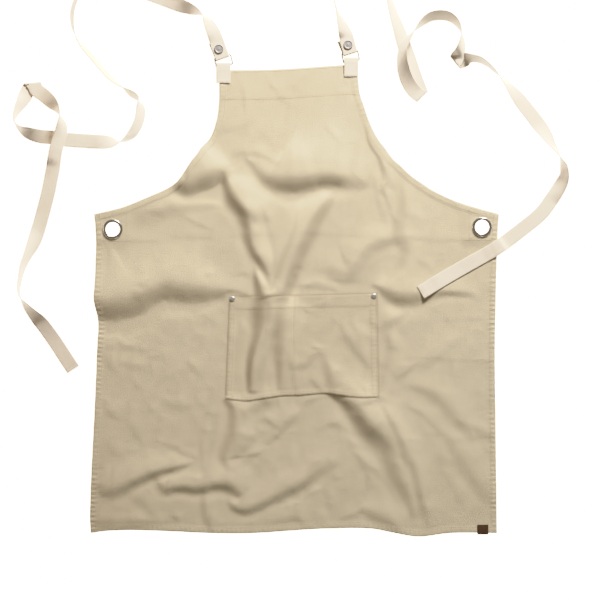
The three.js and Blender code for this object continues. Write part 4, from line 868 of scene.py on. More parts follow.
# ---------------------------------------------------------------- splines
def spline_points(points, per=40):
    """Curve through points (any number of columns); columns past the second never overshoot."""
    p = np.array(points, float)
    n = len(p)
    knots = np.concatenate([[0], np.cumsum(np.maximum(1e-6, np.sqrt(np.hypot(*(p[1:, :2] - p[:-1, :2]).T))))])
    h = np.diff(knots)
    d = (p[1:] - p[:-1]) / h[:, None]
    m = np.zeros_like(p)
    m[0], m[-1] = d[0], d[-1]
    for i in range(1, n - 1):
        m[i] = (d[i - 1] * h[i] + d[i] * h[i - 1]) / (h[i - 1] + h[i])
        for c in range(2, p.shape[1]):
            a, b = d[i - 1][c], d[i][c]
            m[i][c] = 0 if a * b <= 0 else 2 * a * b / (a + b)
    out = []
    for i in range(n - 1):
        for k in range(per):
            s = k / per
            out.append((2 * s**3 - 3 * s**2 + 1) * p[i] + (s**3 - 2 * s**2 + s) * m[i] * h[i]
                       + (-2 * s**3 + 3 * s**2) * p[i + 1] + (s**3 - s**2) * m[i + 1] * h[i])
    out.append(p[-1])
    return np.array(out)


def dense_edge(table):
    """Outline table (key, value) as a dense smooth table, sharp at the waist corner."""
    t = np.array(table, float)
    if t[0, 0] < WAIST_V < t[-1, 0]:
        k = int(np.argmin(abs(t[:, 0] - WAIST_V)))
        a = spline_points(t[: k + 1], 12)
        b = spline_points(t[k:], 12)
        return np.concatenate([a, b[1:]])
    return spline_points(t, 12)


LEFT_D, RIGHT_D = dense_edge(LEFT_EDGE), dense_edge(RIGHT_EDGE)
TOP_D, FOOT_D = spline_points(TOP_EDGE, 12), spline_points(FOOT_EDGE, 12)


def top_v(u):
    return np.interp(u, TOP_D[:, 0], TOP_D[:, 1])


def foot_v(u):
    return np.interp(u, FOOT_D[:, 0], FOOT_D[:, 1])


def share_table(edge):
    v, u = edge[:, 0], edge[:, 1]
    return np.stack([(v - top_v(u)) / (foot_v(u) - top_v(u)), u], 1)


LEFT_S, RIGHT_S = share_table(LEFT_D), share_table(RIGHT_D)
WAIST_S = (WAIST_V - TOP_V) / (FOOT_V - TOP_V)

# the outline as lines of (u, v) for hems and stitches
ARM_LEFT = [(u, v) for v, u in LEFT_D if v <= WAIST_V + 0.01 and v >= top_v(u)]
ARM_RIGHT = [(u, v) for v, u in RIGHT_D if v <= WAIST_V + 0.01 and v >= top_v(u)]
SIDE_LEFT = [(u, v) for v, u in LEFT_D if v >= WAIST_V - 0.01 and v <= 533]
SIDE_RIGHT = [(u, v) for v, u in RIGHT_D if v >= WAIST_V - 0.01 and v <= 533]
FOOT_LINE = [(u, v) for u, v in FOOT_D]
TOP_LINE = [(u, v) for u, v in TOP_D]


def thin(line, step=5.0):
    """Fewer points along a line, the ends kept."""
    p = np.array(line, float)
    s = np.concatenate([[0], np.cumsum(np.hypot(*(p[1:] - p[:-1]).T))])
    q = np.linspace(0, s[-1], max(2, int(s[-1] / step) + 1))
    return list(zip(np.interp(q, s, p[:, 0]), np.interp(q, s, p[:, 1])))


def hem_relief(u, v):
    """Extra height on the front from turned hems, their stitch lines and puckers, mm."""
    z = np.zeros(np.shape(u))
    rows = [  # line, hem width, stitch distance, pucker height, seed
        (SIDE_LEFT, 6.0, 5.4, 0.95, 1), (SIDE_RIGHT, 6.0, 5.4, 0.8, 2), (FOOT_LINE, 6.2, 5.6, 0.35, 3),
        (ARM_LEFT, 7.0, 6.2, 0.35, 4), (ARM_RIGHT, 7.0, 6.2, 0.35, 5)]
    for line, width, stitch, pucker, seed in rows:
        best, _, _, along = line_distance(u, v, thin(line, 6.0))
        body = 1 - smooth((best - width + 0.6) / 1.2)
        z = np.maximum(z, 0.55 * body)
        z = z - 0.35 * np.exp(-((best - stitch) / 0.7) ** 2)
        wob = value_noise(along, np.full(np.shape(along), 30.0 * seed), 9, 40 + seed)
        ripple = np.sin(along * 2 * math.pi / 4.7 + 2.2 * value_noise(along, np.full(np.shape(along), 17.0 * seed), 14, 60 + seed))
        z = z + pucker * (0.55 + 0.45 * wob) * ripple * np.exp(-((best - 3.0) / 3.2) ** 2)
    # bib top hem, a wide turning with one stitch line
    depth = np.asarray(v) - top_v(u)
    inside = (np.asarray(u) > 219) & (np.asarray(u) < 360) & (depth < 60)
    line_v = 29.6
    z = z + np.where(inside, 0.17 * (1 - smooth((depth - line_v) / 1.5)) - 0.16 * np.exp(-((depth - line_v) / 0.9) ** 2), 0)
    return z


def panel_top(u, v):
    return cloth_z(u, v) + CLOTH + hem_relief(u, v)


# ---------------------------------------------------------------- the panel
def spread(width, edge_steps, count):
    """Places across a row: close steps at both ends, even steps between."""
    a = np.cumsum([0] + edge_steps)
    mid = np.linspace(a[-1], width - a[-1], count + 1)
    return np.concatenate([a[:-1], mid, (width - a[:-1])[::-1]])


EYELETS = {"left": (112.9, 229.3), "right": (481.9, 227.1)}
RIVETS = {"left": (232.4, 298.9), "right": (373.8, 296.2)}


def slab_coarse_back(name, top, bottom, material, keep, sharp=50):
    """Like slab, with a back of half the points each way; rows and columns are odd in number and keep is per pair of cells."""
    n, m = top.shape[:2]
    idx = np.arange(n * m).reshape(n, m)
    fine = np.repeat(np.repeat(keep, 2, 0), 2, 1)
    a, b, c, d = idx[:-1, :-1][fine], idx[:-1, 1:][fine], idx[1:, 1:][fine], idx[1:, :-1][fine]
    front = np.stack([a, b, c, d], 1)
    h = idx[::2, ::2]
    a, b, c, d = h[:-1, :-1][keep], h[:-1, 1:][keep], h[1:, 1:][keep], h[1:, :-1][keep]
    back = np.stack([a, b, c, d], 1)
    off = n * m
    e = np.concatenate([back[:, [0, 1]], back[:, [1, 2]], back[:, [2, 3]], back[:, [3, 0]]])
    key = e.min(1) * off + e.max(1)
    order, counts = np.unique(key, return_counts=True)
    rim = e[np.isin(key, order[counts == 1])]
    faces = [tuple(q) for q in front] + [tuple(q[::-1] + off) for q in back]
    for p, q in rim:
        middle = (p + q) // 2
        faces.append((q, middle, p, p + off, q + off))
    used = np.zeros(2 * off, bool)
    used[front.ravel()] = True
    used[back.ravel() + off] = True
    remap = np.cumsum(used) - 1
    faces = [tuple(int(remap[i]) for i in f) for f in faces]
    verts = np.concatenate([top.reshape(-1, 3), bottom.reshape(-1, 3)])[used] / 1000.0
    tri = np.array([(f[0], f[1], f[2]) for f in faces[: len(front)]])
    if np.cross(verts[tri[:, 1]] - verts[tri[:, 0]], verts[tri[:, 2]] - verts[tri[:, 0]])[:, 2].sum() < 0:
        faces = [f[::-1] for f in faces]
    return new_object(name, verts, faces, material, None, sharp)


def shade_points(ob):
    """Stores painted shade for each point, darker deep in folds, along the pocket's edges and towards the bottom-left
    corner, for the cloth's material.
    """
    me = ob.data
    co = np.empty(len(me.vertices) * 3, dtype=np.float32)
    me.vertices.foreach_get("co", co)
    co = co.reshape(-1, 3) * 1000
    values = crease_shade(co[:, 0] / UNIT + ORIGIN_U, ORIGIN_V - co[:, 1] / UNIT)
    me.attributes.new("crease", "FLOAT", "POINT").data.foreach_set("value", values.astype(np.float32))


def hem_points(ob, groups):
    """Stores how far each point lies inside a turned hem; the material uses it for ripple bumps and for painted shade
    on the ripples.
    """
    me = ob.data
    co = np.empty(len(me.vertices) * 3, dtype=np.float32)
    me.vertices.foreach_get("co", co)
    co = co.reshape(-1, 3) * 1000
    u, v = co[:, 0] / UNIT + ORIGIN_U, ORIGIN_V - co[:, 1] / UNIT
    for name, lines in groups.items():
        value = np.zeros(len(u))
        for line, width, strength in lines:
            d = line_distance(u, v, thin(line, 6.0))[0]
            uneven = 0.25 + 0.75 * (smooth((v - 300) / 14) * (1 - smooth((v - 425) / 18)) + smooth((v - 476) / 10))
            value = np.maximum(value, strength * uneven * (1 - smooth((d - width + 1.6) / 1.6)))
        me.attributes.new(name, "FLOAT", "POINT").data.foreach_set("value", value.astype(np.float32))


def make_panel(mat):
    bib = np.linspace(0, WAIST_S, 101)
    skirt = np.linspace(WAIST_S, 1, 211)
    extra = np.array([0.0012, 0.0030, 0.0052, 1 - 0.0012, 1 - 0.0030, 1 - 0.0052])
    shares = np.unique(np.concatenate([bib, skirt, extra]))
    if len(shares) % 2 == 0:
        shares = np.unique(np.append(shares, (shares[3] + shares[4]) / 2))
    steps = [0.5, 0.8, 1.0, 1.1, 1.2, 1.3]
    U, V = [], []
    for s in shares:
        u0, u1 = np.interp(s, LEFT_S[:, 0], LEFT_S[:, 1]), np.interp(s, RIGHT_S[:, 0], RIGHT_S[:, 1])
        u = u0 + spread(u1 - u0, steps, 238)
        U.append(u)
        V.append(top_v(u) + s * (foot_v(u) - top_v(u)))
    U, V = np.array(U), np.array(V)
    low = cloth_z(U, V)
    high = low + CLOTH + hem_relief(U, V)
    # rounded turned edge
    edge = np.minimum.reduce([line_distance(U, V, thin(l, 6.0))[0] for l in (SIDE_LEFT, SIDE_RIGHT, ARM_LEFT, ARM_RIGHT, FOOT_LINE, TOP_LINE)])
    high = high - 0.55 * (1 - smooth(edge / 0.9))
    top = np.stack([X(U), Y(V), high], 2)
    bot = np.stack([X(U), Y(V), low], 2)
    keep = np.ones(((top.shape[0] - 1) // 2, (top.shape[1] - 1) // 2), bool)
    for centre, radius, inner in [(EYELETS["left"], 16.0, 13.7), (EYELETS["right"], 16.0, 13.7)]:
        dx, dy = top[..., 0] - float(X(centre[0])), top[..., 1] - float(Y(centre[1]))
        r = np.hypot(dx, dy)
        near = (r < radius)[::2, ::2]
        keep &= ~(near[:-1, :-1] & near[1:, :-1] & near[:-1, 1:] & near[1:, 1:])
        push = (r < inner) & (r > 1e-6)
        for g in (top, bot):
            g[..., 0] = np.where(push, float(X(centre[0])) + dx / np.maximum(r, 1e-6) * inner, g[..., 0])
            g[..., 1] = np.where(push, float(Y(centre[1])) + dy / np.maximum(r, 1e-6) * inner, g[..., 1])
    ob = slab_coarse_back("apron_cloth", top, bot, mat, keep, 55)
    shade_points(ob)
    hem_points(ob, {"hem_side": [(SIDE_LEFT, 5.2, 0.30), (SIDE_RIGHT, 5.2, 0.15), (ARM_LEFT, 6.0, 0.10), (ARM_RIGHT, 6.0, 0.12)],
                    "hem_foot": [(FOOT_LINE, 5.2, 0.22)]})
    return ob


# ---------------------------------------------------------------- the pocket
POCKET_TOP = [(229, 297), (265, 296.3), (300, 295.5), (340, 294.6), (376.5, 293.5)]
POCKET_FOOT = [(225, 399.5), (236, 400.8), (247, 401.5), (265, 399), (283, 396.5), (300, 396), (325, 394), (340, 396), (360, 398), (378.5, 397.5)]
POCKET_LEFT = [(297, 229), (348, 227), (399.5, 225)]
POCKET_RIGHT = [(293.5, 376.5), (345, 377.6), (397.5, 378.5)]


def pocket_uv(s, t):
    """s across 0..1, t down 0..1 -> u, v"""
    topd, footd = spline_points(POCKET_TOP, 12), spline_points(POCKET_FOOT, 12)
    vl, vr = 297 + t * 102.5, 293.5 + t * 104
    ul = np.interp(vl, [p[0] for p in POCKET_LEFT], [p[1] for p in POCKET_LEFT])
    ur = np.interp(vr, [p[0] for p in POCKET_RIGHT], [p[1] for p in POCKET_RIGHT])
    u = ul + s * (ur - ul)
    vt = np.interp(u, topd[:, 0], topd[:, 1])
    vb = np.interp(u, footd[:, 0], footd[:, 1])
    return u, vt + t * (vb - vt)


def pocket_lift(u, v, s, t):
    """Gap under the pocket, mm: none at its seams, a little air between."""
    width, height = 150.0, 103.0
    side = np.minimum(s, 1 - s) * width
    foot = (1 - t) * height
    div = np.abs(np.asarray(u) - (294.3 - 0.5 * t))
    seam = np.minimum(np.minimum(side - 5.0, foot - 3.6), div)
    air = smooth(seam / 22.0)
    puff = 0.9 * air * (0.75 + 0.25 * value_noise(u, v, 24, 71))
    mouth = 0.35 * smooth((0.14 - t) / 0.14) * smooth((side - 6) / 12) * smooth(div / 8)
    return 0.12 + puff + mouth


def pocket_relief(u, v, s, t):
    width, height = 150.0, 103.0
    side = np.minimum(s, 1 - s) * width
    foot = (1 - t) * height
    down = t * height
    z = 0.0
    for d, w in ((side, 6.6), (foot, 4.6)):
        z = np.maximum(z, 0.40 * (1 - smooth((d - w) / 1.2)))
    z = np.maximum(z, 0.28 * (1 - smooth((down - 12.8) / 1.0)))
    for d, at in ((side, 1.6), (side, 6.0), (foot, 1.3), (foot, 4.2), (down, 12.6)):
        z = z - 0.26 * np.exp(-((d - at) / 0.55) ** 2)
    div = np.abs(np.asarray(u) - (294.3 - 0.5 * t))
    z = z - 0.25 * np.exp(-(div / 0.7) ** 2)
    z = z - 0.85 * (1 - smooth(np.minimum(np.where(np.asarray(s) < 0.5, side, 9.0), foot) / 1.8))
    z = z + 0.12 * np.sin(np.asarray(v) * 2 * math.pi / 4.4) * np.exp(-((side - 3.5) / 3.0) ** 2)
    z = z + 0.12 * np.sin(np.asarray(u) * 2 * math.pi / 4.4) * np.exp(-((foot - 2.5) / 2.5) ** 2)
    return z


def pocket_top(u, v, s, t):
    return panel_top(u, v) + pocket_lift(u, v, s, t) + 0.9 + pocket_relief(u, v, s, t)


def make_pocket(mat):
    ss = spread(150.0, [0.5, 0.8, 0.9, 1.0, 1.0, 1.1], 130) / 150.0
    tt = spread(103.0, [0.5, 0.8, 0.9, 1.0, 1.0], 92) / 103.0
    S, T = np.meshgrid(ss, tt)
    U, V = pocket_uv(S, T)
    base = panel_top(U, V) + pocket_lift(U, V, S, T)
    high = base + 0.9 + pocket_relief(U, V, S, T)
    edge = np.minimum(np.minimum(S, 1 - S) * 150, np.minimum(T, 1 - T) * 103)
    high = high - 0.45 * (1 - smooth(edge / 0.9))
    high = np.maximum(high, base + 0.12)
    top = np.stack([X(U), Y(V), high], 2)
    bot = np.stack([X(U), Y(V), base], 2)
    ob = slab("pocket_cloth", top, bot, mat, None, None, 55)
    shade_points(ob)
    return ob


# ---------------------------------------------------------------- straps
STRAP_LEFT = [
    dict(rows=[(215.2, 41.2, -180, 1.5), (217.5, 46.6, -180, 1.5)],
         fold=dict(at=(222.1, 57.9), into=(0.382, 0.924), line=(0.942, -0.335), r=LOOP_R, side=1)),
    dict(rows=[(218.9, 48.2, 0, 6.0), (217.1, 42.6, 0, 6.0), (213.2, 32.3, 20, 4.4), (208.0, 21.8, 50, 1.4),
               (202.5, 15.2, 90, 0), (192, 10.2, 134, 0), (178, 4.8, 164, 0), (166, 0, 172, 0), (142, -8.5, 178, 0),
               (116, -13.5, 196, 0), (94, -13, 222, 0), (81.5, -7.5, 242, 0), (76.6, 0, 249, 0), (72.9, 13, 250, 0),
               (73.2, 26, 256, 0), (75, 33, 264, 0), (77.9, 39.8, 274, 0), (83.2, 46.6, 286, 0), (90, 54.8, 290, 0),
               (97.6, 63.8, 290, 0), (105, 72.2, 291, 0), (112, 79.6, 289, 0), (119.4, 85.4, 280, 0), (125.5, 89.8, 262, 0),
               (132.5, 94.6, 245, 0), (137.6, 98.4, 252, 0), (139.8, 103, 284, 0), (141.0, 111, 308, 0), (139.4, 121, 309, 0),
               (134, 132, 308, 0), (127.6, 138.4, 290, 0), (121, 141.9, 268, 0), (113.5, 142.6, 226, 0), (104, 142.1, 194, 0),
               (92, 141.5, 180, 0), (78, 140.6, 180, 0), (64, 139.4, 180, 0), (52, 137.6, 172, 0), (40, 136.4, 165, 0),
               (28.5, 133.2, 146, 0), (20, 128.6, 110, 0), (15.4, 122.2, 92, 0), (15.8, 116.6, 80, 0), (18.6, 109.8, 64, 0),
               (22.6, 102.4, 40, 0), (26.6, 93.6, 8, 0)],
         fold=dict(at=(31.4, 83.7), into=(0.446, -0.884), line=(0.995, -0.10), r=CREASE_R, side=1)),
    dict(rows=[(36.4, 89.6, 180, 3.0), (44.2, 95.6, 188, 2.4), (51.8, 102.8, 206, 1.2), (57.4, 109.4, 240, 1.0),
               (60.9, 116.4, 272, 1.6), (62.2, 123.6, 306, 2.6), (61.6, 131.4, 326, 3.0), (57.2, 146, 338, 3.0),
               (54.6, 158, 342, 1.0), (53.2, 167.2, 356, 0), (50.8, 179.6, 360, 0), (48.2, 192.5, 360, 0), (43.6, 210.5, 360, 0),
               (38.2, 230, 354, 0), (34, 243, 332, 0), (28.4, 255.5, 303, 0), (24.0, 265.7, 292, 0), (21.5, 275.9, 283, 0),
               (19.8, 287, 277, 0), (20.7, 296.4, 269, 0), (25.6, 305, 244, 0), (33.4, 314.4, 219, 0), (42, 323.7, 191, 0),
               (49.4, 333.6, 184, 0), (57.4, 345.2, 180, 0), (65.6, 357.8, 180, 0), (73.4, 369.6, 180, 0)])]
STRAP_RIGHT = [
    dict(rows=[(343.7, 39.4, -180, 1.5), (345.3, 43.0, -180, 1.5)],
         fold=dict(at=(349.7, 53.3), into=(0.399, 0.917), line=(0.954, -0.301), r=LOOP_R, side=1)),
    dict(rows=[(347.9, 44.6, 0, 6.0), (346.6, 38.8, 0, 6.0), (344.2, 30.5, 30, 3.0), (340.5, 19.8, 58, 0.8),
               (336.9, 10.2, 80, 0), (334.6, 1.2, 87, 0), (334.4, -8, 90, 0), (338.5, -18, 91, 0), (348.6, -25.6, 92, 0),
               (363, -27, 94, 0), (377, -20.8, 100, 0), (385.4, -10, 108, 0), (389.4, 0.4, 117, 0), (393.6, 14, 130, 0),
               (398.6, 28.4, 148, 0), (403.4, 43.4, 166, 0), (408.8, 58.6, 180, 0), (414.6, 76, 180, 0)],
         fold=dict(at=(422.2, 95.4), into=(0.40, 0.916), line=(0.714, -0.70), r=CREASE_R, side=1)),
    dict(rows=[(413.4, 90.4, 354, 3.0), (407.2, 81, 343, 3.0), (403.4, 70, 330, 3.0), (402.0, 60, 316, 3.0),
               (402.6, 50, 305, 3.0), (406.2, 41.4, 296, 2.2), (411.4, 34.4, 280, 1.0), (417.6, 27.4, 258, 0),
               (424.2, 21.2, 240, 0), (431, 17.1, 231, 0), (438.4, 15.7, 228, 0), (446.8, 16.5, 230, 0), (453.4, 20.2, 240, 0),
               (458.2, 26, 254, 0), (460.9, 32.4, 271, 0), (461.9, 39.3, 290, 1.0), (461.4, 45.6, 305, 2.4), (459.7, 52.4, 326, 3.0)],
         fold=dict(at=(455.2, 61.6), into=(-0.42, 0.907), line=(0.636, 0.772), r=CREASE_R, side=-1)),
    dict(rows=[(464.6, 60.0, 188, 0), (471.6, 58.8, 238, 0), (480, 60.5, 248, 0), (487.4, 65.0, 258, 0),
               (494.4, 71.4, 265, 0), (502, 79.4, 284, 0), (509.4, 87.2, 308, 0), (516, 95.6, 330, 0), (522.8, 104.2, 346, 0),
               (536.6, 121.8, 352, 0), (544.8, 133, 334, 0), (551.9, 144.4, 304, 0), (557.4, 153, 284, 0), (560.6, 159.6, 268, 0),
               (563.1, 166.2, 246, 0), (563.9, 174.4, 234, 0), (561.5, 182.6, 210, 0), (556.2, 192.4, 191, 0), (550, 201.6, 180, 0),
               (543.4, 210.8, 180, 0), (535.6, 218.4, 180, 0), (526.4, 225.8, 180, 0), (514, 235.4, 180, 0), (500.6, 245.4, 180, 0.5),
               (485, 255, 180, 0), (468.7, 264.2, 180, 0), (447, 276.6, 180, 0), (420.7, 292.5, 180, 0)])]
SNAPS = {"left": (219.06, 49.2), "right": (348.1, 45.0)}


def unit2(x, y):
    n = math.hypot(x, y)
    return np.array([x / n, y / n])


def fold_frame(f):
    into, line = unit2(f["into"][0], -f["into"][1]), unit2(f["line"][0], -f["line"][1])
    over = np.array([-line[1], line[0]])
    if over @ into < 0:
        over = -over
    a, b = into @ line, into @ over
    at = np.array([float(X(f["at"][0])), float(Y(f["at"][1]))])
    return dict(into=into, line=line, over=over, at=at, back=at + line * math.pi * f["r"] * a / b, b=b,
                out=a * line - b * over, r=f["r"], side=f["side"])


def strap_sections(runs, step=2.6):
    """Sections along a strap: place, direction, roll, lift, and the folds close by."""
    out, before = [], None
    for run in runs:
        after = fold_frame(run["fold"]) if run.get("fold") else None
        pts = [[float(X(u)), float(Y(v)), roll, lift] for u, v, roll, lift in run["rows"]]
        lead = 6.0
        if before:
            r0, l0 = before["roll"] + 180, before["lift"] + before["side"] * 2 * before["r"]
            turn = round((pts[0][2] - r0) / 360) * 360
            b, o = before["back"], before["out"]
            pts = [[b[0], b[1], r0 + turn, l0], [b[0] + o[0] * lead, b[1] + o[1] * lead, r0 + turn, l0]] + pts
        if after:
            roll = round(pts[-1][2] / 180) * 180
            after["roll"] = roll
            after["lift"] = (1.5 if after["r"] == LOOP_R else 0.0) if after["side"] > 0 else 2 * after["r"]
            a, i = after["at"], after["into"]
            pts += [[a[0] - i[0] * lead, a[1] - i[1] * lead, roll, after["lift"]], [a[0], a[1], roll, after["lift"]]]
        c = spline_points(pts, 40)
        s = np.concatenate([[0], np.cumsum(np.hypot(*(c[1:, :2] - c[:-1, :2]).T))])
        total = s[-1]
        near = lambda f: WEB_WIDTH / 2 * math.sqrt(max(0, 1 - f["b"] ** 2)) / f["b"] + 8
        marks = []
        if before:
            reach = math.pi / 2 * before["r"] / before["b"]
            marks += list(-reach * np.linspace(1, 0, 9)[:-1] * 0.999)
            marks += list(np.arange(0, near(before), 0.8))
            first = near(before)
        else:
            first = 0.0
        last = total - near(after) if after else total
        marks += list(np.linspace(first, last, max(2, int((last - first) / step))))
        if after:
            reach = math.pi / 2 * after["r"] / after["b"]
            marks += list(np.arange(last, total, 0.8)) + list(total + reach * np.linspace(0, 1, 9) * 0.999)
        marks = np.unique(np.round(marks, 5))
        for at in marks:
            q = min(max(at, 0), total)
            p = [np.interp(q, s, c[:, k]) for k in range(4)]
            q0, q1 = max(0, q - 1.2), min(total, q + 1.2)
            d = unit2(np.interp(q1, s, c[:, 0]) - np.interp(q0, s, c[:, 0]), np.interp(q1, s, c[:, 1]) - np.interp(q0, s, c[:, 1]))
            if before and at <= 0:
                d = before["out"]
            if after and at >= total - 1e-6:
                d = after["into"]
            over = at - q
            out.append(dict(at=np.array([p[0] + d[0] * over, p[1] + d[1] * over]), dir=d, roll=math.radians(p[2]), lift=p[3],
                            before=before if before is not None and at < first + 4 else None,
                            after=after if after is not None and at > last - 4 else None))
        before = after
    return out


def under_strap(sections):
    """Highest cloth under each section, mm."""
    rest = np.zeros(len(sections))
    for k, s in enumerate(sections):
        x, y = s["at"]
        u0, v0 = x / UNIT + ORIGIN_U, ORIGIN_V - y / UNIT
        if not (300 < u0 < 512 and 205 < v0 < 400):
            continue
        t = np.linspace(-0.5, 0.5, 7) * WEB_WIDTH
        px, py = x - s["dir"][1] * t, y + s["dir"][0] * t
        u, v = px / UNIT + ORIGIN_U, ORIGIN_V - py / UNIT
        ok = (u < 497.5) & (v > 214)
        if ok.any():
            rest[k] = float(np.max(np.where(ok, panel_top(u, v), 0))) + 0.1
    return rest


def ease(values, positions, reach):
    """Highest value close by, then a moving average, so that the strap lies over what it crosses."""
    v = np.asarray(values)
    out = np.zeros(len(v))
    for i, p in enumerate(positions):
        near = np.abs(positions - p) <= reach
        out[i] = v[near].max()
    res = np.zeros(len(v))
    for i, p in enumerate(positions):
        w = np.clip(1 - np.abs(positions - p) / reach, 0, None)
        res[i] = (out * w).sum() / w.sum()
    return np.maximum(res, v)


ACROSS = np.array([-1, -0.985, -0.955, -0.90, -0.7, -0.45, -0.2, 0.0, 0.2, 0.45, 0.7, 0.90, 0.955, 0.985, 1])


def edge_thickness(a):
    a = np.abs(a)
    return np.where(a > 0.90, np.sqrt(np.clip(1 - ((a - 0.90) / 0.10) ** 2, 0, 1)) * 0.85 + 0.15, 1.0)


def make_strap(name, runs, mat):
    secs = strap_sections(runs)
    places = np.array([s["at"] for s in secs])
    run_s = np.concatenate([[0], np.cumsum(np.hypot(*(places[1:] - places[:-1]).T))])
    rest = ease(under_strap(secs), run_s, 6.0)
    fronts, backs, uvs, mids = [], [], [], []
    path_s = 0.0
    prev = None
    for k, s in enumerate(secs):
        lift = s["lift"] + rest[k]
        z = WEB_THICK / 2 + lift + WEB_WIDTH / 2 * abs(math.sin(s["roll"]))
        T = np.array([s["dir"][0], s["dir"][1], 0.0])
        N = np.array([-s["dir"][1], s["dir"][0], 0.0])
        W = N * math.cos(s["roll"]) + np.array([0, 0, math.sin(s["roll"])])
        F = np.cross(T, W)
        row_f, row_b, row_m = [], [], []
        for a in ACROSS:
            mid = np.array([s["at"][0], s["at"][1], z]) + W * a * WEB_WIDTH / 2
            n = F
            for f, far in ((s["after"], False), (s["before"], True)):
                if f is None:
                    continue
                base = f["back"] if far else f["at"]
                q = mid[:2] - base
                d, al = q @ f["over"], q @ f["line"]
                if d <= 0:
                    continue
                ang = math.pi - d / f["r"] if far else d / f["r"]
                z0 = WEB_THICK / 2 + f["lift"]
                sign = 1 if math.cos(math.radians(f["roll"])) > 0 else -1
                xy = base + al * f["line"] + f["over"] * f["r"] * math.sin(ang)
                mid = np.array([xy[0], xy[1], z0 + f["side"] * f["r"] * (1 - math.cos(ang))])
                n = np.array([-f["over"][0] * math.sin(ang), -f["over"][1] * math.sin(ang), f["side"] * math.cos(ang)]) * sign * f["side"]
            th = WEB_THICK / 2 * float(edge_thickness(a))
            row_f.append(mid + n * th)
            row_b.append(mid - n * th)
            row_m.append(mid)
        centre = row_m[len(ACROSS) // 2]
        if prev is not None:
            path_s += np.linalg.norm(centre - prev)
        prev = centre
        mids.append(centre)
        fronts.append(row_f)
        backs.append(row_b)
        uvs.append([(a * WEB_WIDTH / 2000, path_s / 1000) for a in ACROSS])
    ob = slab(name, np.array(fronts), np.array(backs), mat, None, np.array(uvs), 60)
    return ob, np.array(mids), secs


# ---------------------------------------------------------------- folded webbing tabs
def strip_sections(path, per=6):
    p = np.array(path, float)
    return p


TABS = {"left": dict(u0=216.3, u1=230.4, top=62.5, foot=83.0), "right": dict(u0=344.1, u1=358.2, top=57.3, foot=76.5)}


def tab_path(top, foot, front_z, back_z=WEB_THICK / 2):
    axis = float(Y(top)) - TAB_R - WEB_THICK / 2
    foot_y = float(Y(foot))
    pts = [(foot_y, back_z), (foot_y + 8, back_z), (axis - 6, back_z + 0.05), (axis, TAB_Z - TAB_R)]
    for k in range(1, 12):
        a = -math.pi / 2 + math.pi * k / 12
        pts.append((axis + TAB_R * math.cos(a), TAB_Z + TAB_R * math.sin(a)))
    high = TAB_Z + TAB_R
    for k in range(0, 13):
        t = k / 12
        pts.append((axis + (foot_y - axis) * t, front_z + (high - front_z) * float(1 - smooth(t / 0.92))))
    return pts


def make_strip(name, path, u0, u1, mat, thick=WEB_THICK, bow=0.0):
    p = np.array(path, float)
    n = len(p)
    t = np.zeros_like(p)
    t[1:-1] = p[2:] - p[:-2]
    t[0], t[-1] = p[1] - p[0], p[-1] - p[-2]
    t /= np.linalg.norm(t, axis=1)[:, None]
    nrm = np.stack([-t[:, 1], t[:, 0]], 1)
    x0, x1 = float(X(u0)), float(X(u1))
    xm, hw = (x0 + x1) / 2, (x1 - x0) / 2
    s = np.concatenate([[0], np.cumsum(np.linalg.norm(np.diff(p, axis=0), axis=1))])
    A, B, UV = [], [], []
    for i in range(n):
        ra, rb, ru = [], [], []
        for a in ACROSS:
            end = min(s[i], s[-1] - s[i])
            th = thick / 2 * float(edge_thickness(a)) * (0.45 + 0.55 * float(smooth(end / 1.6)))
            x = xm + a * hw
            ra.append((x, p[i, 0] + nrm[i, 0] * th, p[i, 1] + nrm[i, 1] * th))
            rb.append((x, p[i, 0] - nrm[i, 0] * th, p[i, 1] - nrm[i, 1] * th))
            ru.append((a * hw / 1000, s[i] / 1000))
        A.append(ra)
        B.append(rb)
        UV.append(ru)
    return slab(name, np.array(A), np.array(B), mat, None, np.array(UV), 60)


# ---------------------------------------------------------------- rings
RINGS = {"left": dict(ul=(214.4, 58.6), ur=(230.5, 54.6), leg=9.7, z_top=4.4, z_foot=3.2),
         "right": dict(ul=(341.7, 53.9), ur=(357.4, 50.5), leg=9.7, z_top=4.4, z_foot=3.2)}


def ring_path(ul, ur, leg, z_top, z_foot, bend=2.6):
    a = np.array([float(X(ul[0])), float(Y(ul[1]))])
    b = np.array([float(X(ur[0])), float(Y(ur[1]))])
    d = (b - a) / np.linalg.norm(b - a)
    down = np.array([d[1], -d[0]]) * leg * UNIT
    c = [np.array([*a, z_top]), np.array([*b, z_top]), np.array([*(b + down), z_foot]), np.array([*(a + down), z_foot])]
    path = []
    for i in range(4):
        p, before, after = c[i], c[i - 1] - c[i], c[(i + 1) % 4] - c[i]
        before /= np.linalg.norm(before)
        after /= np.linalg.norm(after)
        for k in range(9):
            t = k / 8
            path.append(p + before * bend * (1 - t) ** 2 + after * bend * t**2)
        nxt = c[(i + 1) % 4] - after * bend
        start = p + after * bend
        for k in range(1, 6):
            path.append(start + (nxt - start) * k / 6)
    return path


# ---------------------------------------------------------------- stitch lines
def inset(line, distance):
    """A line moved sideways (left of its direction for positive values), in view units."""
    p = np.array(thin(line, 2.0))
    t = np.gradient(p, axis=0)
    t /= np.linalg.norm(t, axis=1)[:, None]
    n = np.stack([t[:, 1], -t[:, 0]], 1)
    return p + n * distance


def on_panel(points, lift=0.05):
    p = np.asarray(points, float)
    z = panel_top(p[:, 0], p[:, 1])
    return np.stack([X(p[:, 0]), Y(p[:, 1]), z + lift], 1)


def straight(a, b, step=2.0):
    a, b = np.array(a, float), np.array(b, float)
    n = max(2, int(np.linalg.norm(b - a) / step) + 1)
    return a + (b - a) * np.linspace(0, 1, n)[:, None]


